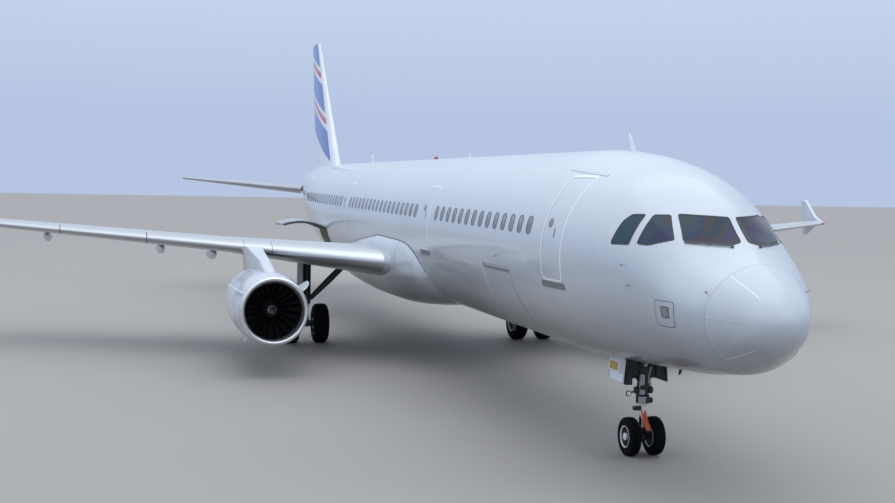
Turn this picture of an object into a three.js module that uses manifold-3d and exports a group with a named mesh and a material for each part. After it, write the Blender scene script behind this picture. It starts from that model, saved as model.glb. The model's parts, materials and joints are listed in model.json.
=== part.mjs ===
// Twin-engined airliner parked on its landing gear, as a half-size model.
// Every number below is in full-size millimetres: "aft" is the distance behind the nose tip,
// y is positive to port, z is the height above the ground. The finished group is scaled by SCALE.
import * as THREE from 'three';
import { mergeVertices } from 'three/addons/utils/BufferGeometryUtils.js';
import Module from 'manifold-3d';

const wasm = await Module();
wasm.setup();

// Driving dimensions
const SCALE = 1 / 2;
const LENGTH = 44510;
const NOSE_X = LENGTH / 2;
const SEAT_GAP = 0.8;
const RUN_GAP = 13;

const RADOME_JOINT = 860;
const FRONT_JOINT = 11000;
const REAR_JOINT = 27500;
const HULL_SIDES = 28;
const WIDEST_AT = 0.517;

const WING_APEX = 16200;
const WING_SWEEP = 0.5206;
const SLAT_CHORD = 0.14;
const SPAR_CHORD = 0.74;

const ENGINE = { y: 5750, z: 1750, lip: 14850, sides: 24 };
const NOSE_GEAR = { aft: 5070, track: 250, radius: 380, width: 225, rim: 195 };
const MAIN_GEAR = { aft: 21980, y: 3795, track: 463, radius: 635, width: 455, rim: 330 };
const WHEEL_SIDES = 16;
const FLAT = Math.cos(Math.PI / WHEEL_SIDES);

const STEEL = [0x9a9da1, 0.35, 0.9];
const SILVER = [0xb9bec4, 0.35, 0.55];
const GREY = [0x8d9298, 0.5, 0.2];
const BARE = [0xd2d4d6, 0.25, 0.95];
const WHITE = [0xe6e7e8, 0.4, 0.1];
const DARK = [0x22262b, 0.45, 0.2];
const GLASS = [0x1b242c, 0.1, 0.2];
const TYRE = [0x17181a, 0.85, 0];
const BLUE = [0x1f3f7a, 0.4, 0.2];

const airliner = new THREE.Group();
airliner.scale.setScalar(SCALE);

// Solids: weld a closed three.js geometry, join and cut it, and turn it into a named mesh
function solid(geometry) {
  const bare = geometry.clone();
  for (const name of Object.keys(bare.attributes)) {
    if (name !== 'position') bare.deleteAttribute(name);
  }
  const welded = mergeVertices(bare, 0.01);
  const index = welded.index.array;
  const kept = [];
  for (let i = 0; i < index.length; i += 3) {
    const [a, b, c] = [index[i], index[i + 1], index[i + 2]];
    if (a !== b && b !== c && a !== c) kept.push(a, b, c);
  }
  return new wasm.Manifold(new wasm.Mesh({
    numProp: 3,
    vertProperties: new Float32Array(welded.attributes.position.array),
    triVerts: new Uint32Array(kept),
  }));
}

function largest(body) {
  const pieces = body.decompose();
  return pieces.reduce((best, piece) => (piece.volume() > best.volume() ? piece : best));
}

function joined(...bodies) {
  return bodies.reduce((whole, body) => whole.add(body));
}

function toGeometry(body, mirrored) {
  const { vertProperties, triVerts, numProp } = body.getMesh();
  const position = new Float32Array((vertProperties.length / numProp) * 3);
  for (let i = 0; i < position.length / 3; i += 1) {
    position[3 * i] = vertProperties[numProp * i];
    position[3 * i + 1] = vertProperties[numProp * i + 1] * (mirrored ? -1 : 1);
    position[3 * i + 2] = vertProperties[numProp * i + 2];
  }
  const index = Array.from(triVerts);
  if (mirrored) {
    for (let i = 0; i < index.length; i += 3) [index[i], index[i + 1]] = [index[i + 1], index[i]];
  }
  const geometry = new THREE.BufferGeometry();
  geometry.setAttribute('position', new THREE.BufferAttribute(position, 3));
  geometry.setIndex(index);
  geometry.computeVertexNormals();
  return geometry;
}

function addNode(name, body, [color, roughness, metalness], mirrored = false) {
  const material = new THREE.MeshStandardMaterial({ color, roughness, metalness });
  const mesh = new THREE.Mesh(toGeometry(largest(body), mirrored), material);
  mesh.name = name;
  airliner.add(mesh);
}

function addPair(name, body, finish) {
  addNode(`${name}_left`, body, finish);
  addNode(`${name}_right`, body, finish, true);
}

// Rings of points joined into one closed skin, with a fan over each end
function loft(rings) {
  const sides = rings[0].length;
  const position = rings.flat().flatMap((p) => [p.x, p.y, p.z]);
  const index = [];
  for (let r = 0; r + 1 < rings.length; r += 1) {
    for (let i = 0; i < sides; i += 1) {
      const a = r * sides + i;
      const b = r * sides + ((i + 1) % sides);
      index.push(a, b, a + sides, b, b + sides, a + sides);
    }
  }
  [0, rings.length - 1].forEach((r) => {
    const centre = new THREE.Vector3();
    rings[r].forEach((p) => centre.addScaledVector(p, 1 / sides));
    const tip = position.length / 3;
    position.push(centre.x, centre.y, centre.z);
    for (let i = 0; i < sides; i += 1) {
      const a = r * sides + i;
      const b = r * sides + ((i + 1) % sides);
      index.push(...(r === 0 ? [b, a, tip] : [a, b, tip]));
    }
  });
  const geometry = new THREE.BufferGeometry();
  geometry.setAttribute('position', new THREE.BufferAttribute(new Float32Array(position), 3));
  geometry.setIndex(index);
  if (signedVolume(geometry) < 0) {
    const flipped = index.slice();
    for (let i = 0; i < index.length; i += 3) [flipped[i], flipped[i + 1]] = [index[i + 1], index[i]];
    geometry.setIndex(flipped);
  }
  return solid(geometry);
}

function signedVolume(geometry) {
  const p = geometry.attributes.position;
  const index = geometry.index.array;
  const [a, b, c] = [new THREE.Vector3(), new THREE.Vector3(), new THREE.Vector3()];
  let sum = 0;
  for (let i = 0; i < index.length; i += 3) {
    a.fromBufferAttribute(p, index[i]);
    b.fromBufferAttribute(p, index[i + 1]);
    c.fromBufferAttribute(p, index[i + 2]);
    sum += a.dot(b.cross(c));
  }
  return sum;
}

const at = (aft, y, z) => new THREE.Vector3(NOSE_X - aft, y, z);

function between(table, aft) {
  let i = 1;
  while (i < table.length - 1 && table[i][0] < aft) i += 1;
  const [low, high] = [table[i - 1], table[i]];
  const t = (aft - low[0]) / (high[0] - low[0]);
  return low.map((value, k) => value + t * (high[k] - value));
}

// Flat outlines pushed through the object along one axis.
// A side outline holds [aft, z] pairs, a plan outline [aft, y] pairs, a front outline [y, z] pairs.
function prism(outline, toWorld, from, to) {
  const shape = new THREE.Shape(outline.map(([u, v]) => new THREE.Vector2(u, v)));
  const geometry = new THREE.ExtrudeGeometry(shape, { depth: to - from, bevelEnabled: false });
  geometry.translate(0, 0, from);
  const p = geometry.attributes.position;
  for (let i = 0; i < p.count; i += 1) {
    const w = toWorld(p.getX(i), p.getY(i), p.getZ(i));
    p.setXYZ(i, w.x, w.y, w.z);
  }
  const whole = mergeVertices(stripped(geometry), 0.01);
  if (signedVolume(whole) < 0) {
    const index = whole.index.array;
    for (let i = 0; i < index.length; i += 3) [index[i], index[i + 1]] = [index[i + 1], index[i]];
  }
  return solid(whole);
}

function stripped(geometry) {
  for (const name of Object.keys(geometry.attributes)) {
    if (name !== 'position') geometry.deleteAttribute(name);
  }
  return geometry;
}

const sidePrism = (outline, y0, y1) => prism(outline, (u, v, w) => at(u, w, v), y0, y1);
const planPrism = (outline, z0, z1) => prism(outline, (u, v, w) => at(u, v, w), z0, z1);
const frontPrism = (outline, aft0, aft1) => prism(outline, (u, v, w) => at(w, u, v), aft0, aft1);

function box(aft, y, z, length, width, height) {
  const geometry = new THREE.BoxGeometry(length, width, height);
  const centre = at(aft, y, z);
  geometry.translate(centre.x, centre.y, centre.z);
  return solid(geometry);
}

// A straight rod, or a cone, between two points
function rod(from, to, r0, r1 = r0, sides = 12) {
  const span = new THREE.Vector3().subVectors(to, from);
  const geometry = new THREE.CylinderGeometry(r1, r0, span.length(), sides);
  geometry.applyQuaternion(
    new THREE.Quaternion().setFromUnitVectors(new THREE.Vector3(0, 1, 0), span.clone().normalize()),
  );
  const middle = new THREE.Vector3().addVectors(from, to).multiplyScalar(0.5);
  geometry.translate(middle.x, middle.y, middle.z);
  return solid(geometry);
}

// A profile that starts on the axis ends there, and any other closes on itself
function closedRing(profile) {
  return profile[0][0] === 0 ? profile : [...profile, profile[0]];
}

// A profile turned about a wheel axle (along y): pairs of [radius, distance outboard]
function turnedAboutY(profile, sides, aft, y, z) {
  const points = closedRing(profile).map(([r, d]) => new THREE.Vector2(r, d));
  const geometry = new THREE.LatheGeometry(points, sides, Math.PI / sides);
  const centre = at(aft, y, z);
  geometry.translate(centre.x, centre.y, centre.z);
  return rightWayOut(geometry);
}

// A profile turned about an engine's centre line: pairs of [radius, distance aft of the lip]
function turnedAboutX(profile, sides, start = 0) {
  const points = closedRing(profile).map(([r, d]) => new THREE.Vector2(r, -d));
  const geometry = new THREE.LatheGeometry(points, sides, start);
  geometry.rotateZ(-Math.PI / 2);
  const centre = at(ENGINE.lip, ENGINE.y, ENGINE.z);
  geometry.translate(centre.x, centre.y, centre.z);
  return rightWayOut(geometry);
}

function rightWayOut(geometry) {
  const whole = mergeVertices(stripped(geometry), 0.01);
  if (signedVolume(whole) < 0) {
    const index = whole.index.array;
    for (let i = 0; i < index.length; i += 3) [index[i], index[i + 1]] = [index[i + 1], index[i]];
  }
  return solid(whole);
}

// Fuselage: stations of an oval section, which is pinched above its widest line round the flight deck
const HULL = [
  // aft, top, bottom, half width, pinch
  [0, 3110, 3090, 10, 0],
  [60, 3290, 2870, 243, 0.01],
  [200, 3470, 2680, 458, 0.03],
  [450, 3695, 2510, 657, 0.06],
  [800, 3920, 2320, 890, 0.12],
  [1150, 4100, 2180, 1112, 0.19],
  [1600, 4440, 2110, 1315, 0.25],
  [2050, 4850, 2040, 1400, 0.28],
  [2500, 5125, 1995, 1505, 0.24],
  [3100, 5380, 1955, 1665, 0.15],
  [4000, 5610, 1900, 1825, 0.07],
  [5200, 5800, 1830, 1920, 0.03],
  [6700, 5900, 1760, 1975, 0],
  [30000, 5900, 1760, 1975, 0],
  [31500, 5900, 1900, 1960, 0],
  [33500, 5900, 2200, 1870, 0],
  [36000, 5890, 2750, 1650, 0],
  [39000, 5840, 3500, 1250, 0],
  [42000, 5690, 4320, 780, 0],
  [43600, 5540, 4780, 480, 0],
  [44510, 5410, 5040, 230, 0],
];

function hullRing(aft, grow) {
  const [, top, bottom, half, pinch] = between(HULL, aft);
  const middle = bottom + WIDEST_AT * (top - bottom);
  const ring = [];
  for (let i = 0; i < HULL_SIDES; i += 1) {
    const angle = (2 * Math.PI * (i + 0.5)) / HULL_SIDES;
    const up = Math.sin(angle);
    const rise = up > 0 ? top - middle : middle - bottom;
    const width = half * (1 - pinch * Math.max(up, 0) ** 2) + grow;
    ring.push(at(aft, width * Math.cos(angle), middle + (rise + grow) * up));
  }
  return ring;
}

function hull(from, to, grow = 0) {
  const inner = HULL.map(([aft]) => aft).filter((aft) => aft > from + 1 && aft < to - 1);
  return loft([from, ...inner, to].map((aft) => hullRing(aft, grow)));
}

const hullWhole = hull(0, LENGTH);
const hullGrown = hull(5000, LENGTH, SEAT_GAP);

// Flight-deck glazing: one band of panes let into the nose
const PANE_DEPTH = 60;
const GLAZING = [[1290, 4270], [1900, 4860], [3150, 4860], [3560, 4620], [3560, 4270]];

function grownOutline(outline, by) {
  const area = outline.reduce((sum, [u, v], i) => {
    const [s, t] = outline[(i + 1) % outline.length];
    return sum + u * t - s * v;
  }, 0);
  const turn = Math.sign(area);
  const edges = outline.map(([u, v], i) => {
    const [s, t] = outline[(i + 1) % outline.length];
    const long = Math.hypot(s - u, t - v);
    const normal = [(turn * (t - v)) / long, (-turn * (s - u)) / long];
    return { normal, offset: normal[0] * u + normal[1] * v + by };
  });
  return edges.map((edge, i) => {
    const last = edges[(i + edges.length - 1) % edges.length];
    const det = last.normal[0] * edge.normal[1] - last.normal[1] * edge.normal[0];
    return [
      (last.offset * edge.normal[1] - edge.offset * last.normal[1]) / det,
      (edge.offset * last.normal[0] - last.offset * edge.normal[0]) / det,
    ];
  });
}

const glazingRecess = (by) => sidePrism(grownOutline(GLAZING, by), -2100, 2100)
  .subtract(hull(500, 4500, -PANE_DEPTH - by));

addNode('flight_deck_glazing', hullWhole.intersect(glazingRecess(0)), GLASS);

// Cargo doors: panels of the skin on the starboard side, hinged along their top edge
const CARGO_DOOR = { low: 1990, high: 3420, thick: 120, hold: 1250 };
const CARGO_DOORS = [
  // name, front edge aft, length, angle it stands open at
  ['cargo_door_fwd', 7550, 1790, 0],
  ['cargo_door_aft', 28900, 1790, 130],
];
const HINGE_PIN = 14;

// The skin's y on the starboard side, at a height
function skinY(aft, z) {
  const ring = hullRing(aft, 0);
  const low = ring.findIndex((p, i) => {
    const next = ring[(i + 1) % HULL_SIDES];
    return p.y < 0 && next.y < 0 && (p.z - z) * (next.z - z) <= 0;
  });
  const [a, b] = [ring[low], ring[(low + 1) % HULL_SIDES]];
  return a.y + ((z - a.z) / (b.z - a.z)) * (b.y - a.y);
}

function doorHinge(front) {
  const z = CARGO_DOOR.high - HINGE_PIN - 6;
  return { y: skinY(front, z) + HINGE_PIN + 3, z };
}

function cargoDoor(front, length, open) {
  const { low, high, thick } = CARGO_DOOR;
  const outline = [[front, low], [front, high], [front + length, high], [front + length, low]];
  const skin = hull(5000, 33000).subtract(hull(4900, 33100, -thick));
  const hinge = doorHinge(front);
  const reach = RUN_GAP - SEAT_GAP;
  const pin = rod(
    at(front - reach, hinge.y, hinge.z),
    at(front + length + reach, hinge.y, hinge.z),
    HINGE_PIN,
  );
  return turned(skin.intersect(sidePrism(outline, -2200, -200)).add(pin), front, hinge, open);
}

function turned(body, front, hinge, open) {
  const geometry = toGeometry(body, false);
  const centre = at(front, hinge.y, hinge.z);
  geometry.translate(-centre.x, -centre.y, -centre.z);
  geometry.rotateX(THREE.MathUtils.degToRad(-open));
  geometry.translate(centre.x, centre.y, centre.z);
  return solid(geometry);
}

function holdPocket(front, length) {
  const g = RUN_GAP;
  const { low, high, hold } = CARGO_DOOR;
  return box(front + length / 2, -2200 + hold / 2 + 300, (low + high) / 2,
    length + 2 * g, hold + 700, high - low + 2 * g);
}

// Nose gear bay, open between the two gear doors
const NOSE_BAY = { from: 4330, to: 6080, half: 400, roof: 2620 };
const noseBay = box(
  (NOSE_BAY.from + NOSE_BAY.to) / 2, 0, NOSE_BAY.roof / 2,
  NOSE_BAY.to - NOSE_BAY.from, 2 * NOSE_BAY.half, NOSE_BAY.roof,
);

// Tailplane pivot: one round beam through the tail
const PIVOT = { aft: 40750, z: 4760, radius: 110, sides: 32 };
const pivotHole = rod(
  at(PIVOT.aft, -3000, PIVOT.z), at(PIVOT.aft, 3000, PIVOT.z),
  PIVOT.radius + SEAT_GAP, PIVOT.radius + SEAT_GAP, PIVOT.sides,
);

addNode('radome', hull(0, RADOME_JOINT - SEAT_GAP), WHITE);
let noseSection = hull(RADOME_JOINT, FRONT_JOINT).subtract(glazingRecess(SEAT_GAP)).subtract(noseBay);
let rearSection = hull(REAR_JOINT + SEAT_GAP, LENGTH).subtract(pivotHole);
CARGO_DOORS.forEach(([name, front, length, open]) => {
  const pocket = holdPocket(front, length);
  if (front < FRONT_JOINT) noseSection = noseSection.subtract(pocket);
  else rearSection = rearSection.subtract(pocket);
  addNode(name, cargoDoor(front, length, open), SILVER);
});
addNode('nose_section', noseSection, SILVER);
addNode('centre_fuselage', hull(FRONT_JOINT + SEAT_GAP, REAR_JOINT), SILVER);
addNode('rear_fuselage', rearSection, SILVER);

// Fairing where the wing passes under the fuselage
const FAIRING = [
  // aft, top, bottom, half width
  [15150, 2800, 2600, 1580],
  [15225, 3070, 2300, 1735],
  [15370, 3340, 2100, 1880],
  [15600, 3610, 1930, 1955],
  [15860, 3770, 1840, 2000],
  [16250, 3870, 1770, 2060],
  [17000, 3910, 1690, 2115],
  [18300, 3900, 1550, 2175],
  [19600, 3920, 1465, 2195],
  [21200, 3750, 1455, 2195],
  [22500, 3580, 1490, 2175],
  [23900, 3400, 1560, 2120],
  [25600, 3170, 1660, 1950],
  [27000, 2950, 1840, 1500],
];
const FAIRING_SIDES = 24;
const SHOULDER_POWER = 0.62;
const KEEL_POWER = 0.91;

function fairing(grow) {
  return loft(FAIRING.map(([aft, top, bottom, half]) => {
    const ring = [];
    for (let i = 0; i < FAIRING_SIDES; i += 1) {
      const angle = (2 * Math.PI * (i + 0.5)) / FAIRING_SIDES;
      const [c, s] = [Math.cos(angle), Math.sin(angle)];
      const power = s > 0 ? SHOULDER_POWER : KEEL_POWER;
      const y = Math.sign(c) * Math.abs(c) ** power * (half + grow);
      const z = (top + bottom) / 2 + Math.sign(s) * Math.abs(s) ** power * ((top - bottom) / 2 + grow);
      ring.push(at(aft, y, z));
    }
    return ring;
  }));
}

const fairingGrown = fairing(SEAT_GAP);
const bodyGrown = joined(fairingGrown, solid(toGeometry(fairingGrown, true)), hullGrown);
addNode('belly_fairing', fairing(0).subtract(hullGrown), SILVER);

// Aerofoil sections: thickness and camber along the chord
const CHORD_STEPS = [0, 0.012, 0.05, 0.1, 0.2, 0.33, 0.47, 0.6, 0.69, 0.82, 0.92, 1];
const TRAILING_EDGE = 0.0022;

function aerofoil(thickness, camber) {
  const half = (x) => 5 * thickness * (0.2969 * Math.sqrt(x) - 0.126 * x - 0.3516 * x ** 2
    + 0.2843 * x ** 3 - 0.1036 * x ** 4) + TRAILING_EDGE * x;
  const line = (x) => 4 * camber * x * (1 - x);
  const upper = CHORD_STEPS.map((x) => [x, line(x) + half(x)]);
  const lower = CHORD_STEPS.slice(1).map((x) => [x, line(x) - half(x)]).reverse();
  return [...upper, ...lower];
}

function grownSection(points, by) {
  if (by === 0) return points;
  return points.map(([u, v], i) => {
    const [a, b] = points[(i + points.length - 1) % points.length];
    const [c, d] = points[(i + 1) % points.length];
    const long = Math.hypot(c - a, d - b);
    return [u - (by * (d - b)) / long, v + (by * (c - a)) / long];
  });
}

// Main wing, port side
const WING = [
  // y, chord, height of the leading edge, thickness, incidence in degrees
  [1200, 6460, 2790, 0.15, 3.6],
  [1975, 6070, 2850, 0.15, 3.4],
  [6400, 3840, 3190, 0.118, 2.2],
  [16920, 1480, 3900, 0.108, 0.6],
];
const WING_CAMBER = 0.014;
const WING_TIP = WING[WING.length - 1][0];
const leadingEdge = (y) => WING_APEX + WING_SWEEP * y;

// Heights on the section at one place along the chord, for a row of the table
const camberRise = (part) => ([, chord]) => chord * between(
  CHORD_STEPS.map((x) => [x, 4 * WING_CAMBER * x * (1 - x)]), part,
)[1];
const skinRise = (part, below = 0) => ([, chord, , thickness]) => chord * between(
  aerofoil(thickness, WING_CAMBER).slice(0, CHORD_STEPS.length), part,
)[1] - below;

function rowPoint([y, chord, z, , incidence], part, above) {
  const tilt = THREE.MathUtils.degToRad(incidence);
  const [u, v] = [part * chord, above];
  return at(leadingEdge(y) + u * Math.cos(tilt) + v * Math.sin(tilt), y,
    z - u * Math.sin(tilt) + v * Math.cos(tilt));
}

// A point of the wing: the skin runs straight from one row of the table to the next
function wingPoint(y, part, rise = () => 0) {
  const outer = Math.max(1, WING.findIndex((row) => row[0] >= y));
  const [low, high] = [WING[outer - 1], WING[outer]];
  const along = (y - low[0]) / (high[0] - low[0]);
  return rowPoint(low, part, rise(low)).lerp(rowPoint(high, part, rise(high)), along);
}

function wingBody(grow = 0) {
  return loft(WING.map((row, k) => {
    const [, chord, , thickness] = row;
    const extra = k === WING.length - 1 ? grow : 0;
    const points = aerofoil(thickness, WING_CAMBER).map(([u, v]) => [u * chord, v * chord]);
    return grownSection(points, grow).map(([u, v]) => {
      const p = rowPoint(row, u / chord, v);
      p.y += extra;
      return p;
    });
  }));
}

const wingAft = (y, part) => NOSE_X - wingPoint(y, part).x;

// A plan outline between two spanwise places and two parts of the chord
function wingPanel(y0, y1, front, back, grow = 0) {
  const far = 2500;
  const aft = (y, part) => {
    if (part > 1) return wingAft(y, 1) + far;
    return part < 0 ? leadingEdge(y) - far : wingAft(y, part);
  };
  const g = grow;
  return [
    [aft(y0, front) - (front < 0 ? 0 : g), y0 - g],
    [aft(y0, back) + (back > 1 ? 0 : g), y0 - g],
    [aft(y1, back) + (back > 1 ? 0 : g), y1 + g],
    [aft(y1, front) - (front < 0 ? 0 : g), y1 + g],
  ];
}

const [LOW, HIGH] = [0, 9000];
const wingFull = wingBody();
const wingGrown = wingBody(SEAT_GAP);
const slatPlan = (grow) => planPrism(wingPanel(2300, 16300, -1, SLAT_CHORD, grow), LOW, HIGH);
const flapPlan = (y0, y1, grow) => planPrism(wingPanel(y0, y1, SPAR_CHORD, 2, grow), LOW, HIGH);
const FLAPS = [
  // name, inboard y, outboard y
  ['flap_inner', 2500, 6370],
  ['flap_outer', 6430, 12600],
];

// A block behind a hinge line: its ends are square to the line, so that a part cut by it turns freely
function behindHinge(from, to, grow, ahead = 0) {
  const [depth, reach] = [3000, 900];
  const line = new THREE.Vector3().subVectors(to, from);
  const along = line.clone().normalize();
  const back = new THREE.Vector3(-1, 0, 0).addScaledVector(along, along.x).normalize();
  const across = new THREE.Vector3().crossVectors(along, back);
  const front = grow + ahead;
  const geometry = new THREE.BoxGeometry(line.length() + 2 * grow, depth + front, 2 * reach);
  geometry.translate(0, (depth - front) / 2, 0);
  geometry.applyMatrix4(new THREE.Matrix4().makeBasis(along, back, across));
  const middle = new THREE.Vector3().addVectors(from, to).multiplyScalar(0.5);
  geometry.translate(middle.x, middle.y, middle.z);
  return solid(geometry);
}

// A hinged surface: its rounded nose and the hollow it turns in are cones about the hinge line
function hinged(body, region, from, to, r0, r1) {
  const along = new THREE.Vector3().subVectors(to, from);
  const unit = along.clone().normalize();
  const shifted = (p, by) => p.clone().addScaledVector(unit, by);
  const nose = rod(from, to, r0, r1, 12);
  const cove = rod(shifted(from, -RUN_GAP), shifted(to, RUN_GAP), r0 + RUN_GAP, r1 + RUN_GAP, 12);
  const reach = RUN_GAP - SEAT_GAP;
  const pinSize = 0.5 * Math.min(r0, r1);
  const pin = rod(shifted(from, -reach), shifted(to, reach), pinSize, pinSize, 6);
  return {
    moving: body.intersect(region(0).add(nose)).add(pin),
    fixed: body.subtract(region(RUN_GAP)).subtract(cove),
  };
}

const AILERON = { from: 12900, to: 16100, chord: 0.75 };

// Spoilers: upper skin panels ahead of the outer flap, hinged on their front edge
const SPOILER = { from: 6900, to: 12100, front: 0.56, back: 0.725, thick: 34, pin: 10, inset: 20 };

function spoilerHinge(y) {
  const hinge = wingPoint(y, SPOILER.front, skinRise(SPOILER.front, SPOILER.thick / 2));
  hinge.x -= SPOILER.inset;
  return hinge;
}

function dropped(body, by) {
  const geometry = toGeometry(body, false);
  geometry.translate(0, 0, -by);
  return solid(geometry);
}

// Canoe fairings over the flap tracks
const CANOE = [
  // part of the length, half width, half height
  [0, 14, 14],
  [0.12, 80, 90],
  [0.4, 130, 170],
  [0.75, 115, 140],
  [1, 16, 18],
];
const CANOES = [
  // y, start aft of the leading edge as a part of the chord, length, how far below the chord line
  [6700, 0.46, 2700, 300],
  [8250, 0.44, 2500, 280],
  [11700, 0.42, 2150, 230],
];

function canoe(y, part, length, below) {
  const rings = CANOE.map(([t, half, tall]) => {
    const ring = [];
    for (let i = 0; i < 8; i += 1) {
      const angle = (2 * Math.PI * (i + 0.5)) / 8;
      const p = wingPoint(y, part, () => -below);
      p.x -= t * length;
      p.z -= 0.06 * t * length;
      p.y += half * Math.cos(angle);
      p.z += tall * Math.sin(angle);
      ring.push(p);
    }
    return ring;
  });
  return loft(rings);
}

const wingBare = wingFull.subtract(bodyGrown);
addPair('slats', wingBare.intersect(slatPlan(0)), BARE);
let wingFixed = wingBare.subtract(slatPlan(SEAT_GAP));
let canoes = joined(...CANOES.map((row) => canoe(...row)));
const wingOverCanoes = wingBody(3 * SEAT_GAP);
FLAPS.forEach(([name, y0, y1]) => {
  addPair(name, wingBare.intersect(flapPlan(y0, y1, 0)), GREY);
  wingFixed = wingFixed.subtract(flapPlan(y0, y1, SEAT_GAP));
  canoes = canoes.subtract(wingOverCanoes.intersect(flapPlan(y0, y1, SEAT_GAP)));
});
wingFixed = wingFixed.add(canoes);

const aileronEnds = (rise) => [AILERON.from, AILERON.to].map((y) => wingPoint(y, AILERON.chord, rise));
const aileronLine = aileronEnds(camberRise(AILERON.chord));
const aileronSkin = aileronEnds(skinRise(AILERON.chord));
const aileronRadii = aileronLine.map((p, k) => p.distanceTo(aileronSkin[k]));
const aileron = hinged(
  wingFixed, (grow) => behindHinge(...aileronLine, grow), ...aileronLine, ...aileronRadii,
);
wingFixed = aileron.fixed;
addPair('aileron', aileron.moving, SILVER);

const spoilerPlan = (grow) => planPrism(
  wingPanel(SPOILER.from - 300, SPOILER.to + 300, SPOILER.front, SPOILER.back, grow), LOW, HIGH,
).intersect(behindHinge(spoilerHinge(SPOILER.from), spoilerHinge(SPOILER.to), grow, 4 * SPOILER.inset));
const spoilerPin = rod(
  spoilerHinge(SPOILER.from - 3 * RUN_GAP), spoilerHinge(SPOILER.to + 3 * RUN_GAP), SPOILER.pin,
).intersect(spoilerPlan(RUN_GAP - SEAT_GAP));
const spoiler = wingFixed.intersect(spoilerPlan(0)).subtract(dropped(wingFull, SPOILER.thick));
addPair('spoilers', spoiler.add(spoilerPin), GREY);
wingFixed = wingFixed.subtract(
  spoilerPlan(RUN_GAP).subtract(dropped(wingFull, SPOILER.thick + 1.6 * RUN_GAP)),
);

addPair('wing', wingFixed, SILVER);

// Wing-tip fence: a thin swept plate above and below the tip
const FENCE_OUTLINE = [
  // aft of the tip's leading edge, height above the tip
  [60, 0], [700, 260], [1400, 900], [1720, 900], [1640, 260], [1560, -60],
  [1560, -480], [1330, -480], [760, -120],
];
const FENCE_THICK = 17050 - WING_TIP - SEAT_GAP;
const fence = sidePrism(
  FENCE_OUTLINE.map(([aft, z]) => [leadingEdge(WING_TIP) + aft, 3890 + z]),
  WING_TIP + SEAT_GAP, WING_TIP + SEAT_GAP + FENCE_THICK,
);
addPair('wingtip_fence', fence, SILVER);

// Engines, port side: intake lip, cowl with strakes, fan, and the power unit inside as one block
const COWL_OUTER = [
  // radius, aft of the lip
  [895, 240], [940, 600], [970, 1150], [975, 2000], [945, 2950], [860, 4000], [680, 5080],
];
const COWL_INNER = [
  [655, 5090], [800, 4000], [880, 2400], [880, 1000], [845, 820], [758, 240],
];
const lipProfile = [
  [895, 240 - SEAT_GAP], [855, 110], [818, 28], [793, 0], [775, 24], [762, 110], [758, 240 - SEAT_GAP],
];
const CORE = { face: 1380, shoulder: 1640, radius: 880 - SEAT_GAP * 1.1 };
const coreProfile = [
  [0, CORE.face], [CORE.radius, CORE.face], [CORE.radius, CORE.shoulder], [640, CORE.shoulder + 40],
  [620, 3300], [470, 4300], [300, 4330], [215, 4650], [0, 4860],
];
const fanHub = [
  [0, 560], [75, 600], [180, 760], [262, 990], [262, 1290], [90, 1300],
  [90, CORE.face - SEAT_GAP], [0, CORE.face - SEAT_GAP],
];
const FAN = { blades: 22, tip: 850, root: 215, front: 1030, back: 1220 };

function fanBlade(index) {
  const turn = (2 * Math.PI * index) / FAN.blades;
  const stations = [
    // radius, stagger in radians, half chord, half thickness
    [FAN.root, 0.3, 78, 14],
    [FAN.tip, 1.05, 135, 6],
  ];
  const middle = (FAN.front + FAN.back) / 2;
  return loft(stations.map(([radius, stagger, chord, thick]) => (
    [[-1, 0], [0, 1], [1, 0], [0, -1]].map(([c, t]) => {
      const along = c * chord * Math.cos(stagger) - t * thick * Math.sin(stagger);
      const across = c * chord * Math.sin(stagger) + t * thick * Math.cos(stagger);
      const angle = turn + across / radius;
      return at(ENGINE.lip + middle + along,
        ENGINE.y + radius * Math.cos(angle), ENGINE.z + radius * Math.sin(angle));
    })
  )));
}

const blades = Array.from({ length: FAN.blades }, (unused, index) => fanBlade(index));
addPair('intake_lip', turnedAboutX(lipProfile, ENGINE.sides), BARE);
const cowlTube = turnedAboutX([...COWL_OUTER, ...COWL_INNER], ENGINE.sides);
// Strakes: aft of the lip and radius, and how far each one's plane rises, in degrees
const STRAKE_OUTLINE = [[330, 900], [450, 1080], [750, 1200], [1150, 1270], [1330, 1240], [1420, 950]];
const STRAKE = { thick: 24, outboard: 30, inboard: 34 };
const strakes = joined(sideStrake(STRAKE.outboard), sideStrake(180 - STRAKE.inboard));
const cowl = cowlTube.add(strakes);
addPair('cowl', cowl, SILVER);
addPair('engine_core', turnedAboutX(coreProfile, ENGINE.sides), DARK);
addPair('fan', joined(turnedAboutX(fanHub, FAN.blades), ...blades), STEEL);

// A thin fin that stands out of the cowl at an angle above the outboard direction
function sideStrake(degrees) {
  const shape = new THREE.Shape(STRAKE_OUTLINE.map(([aft, r]) => new THREE.Vector2(-aft, r)));
  const geometry = new THREE.ExtrudeGeometry(shape, { depth: STRAKE.thick, bevelEnabled: false });
  geometry.translate(0, 0, -STRAKE.thick / 2);
  geometry.rotateX(THREE.MathUtils.degToRad(degrees));
  const centre = at(ENGINE.lip, ENGINE.y, ENGINE.z);
  geometry.translate(centre.x, centre.y, centre.z);
  return solid(geometry);
}

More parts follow.
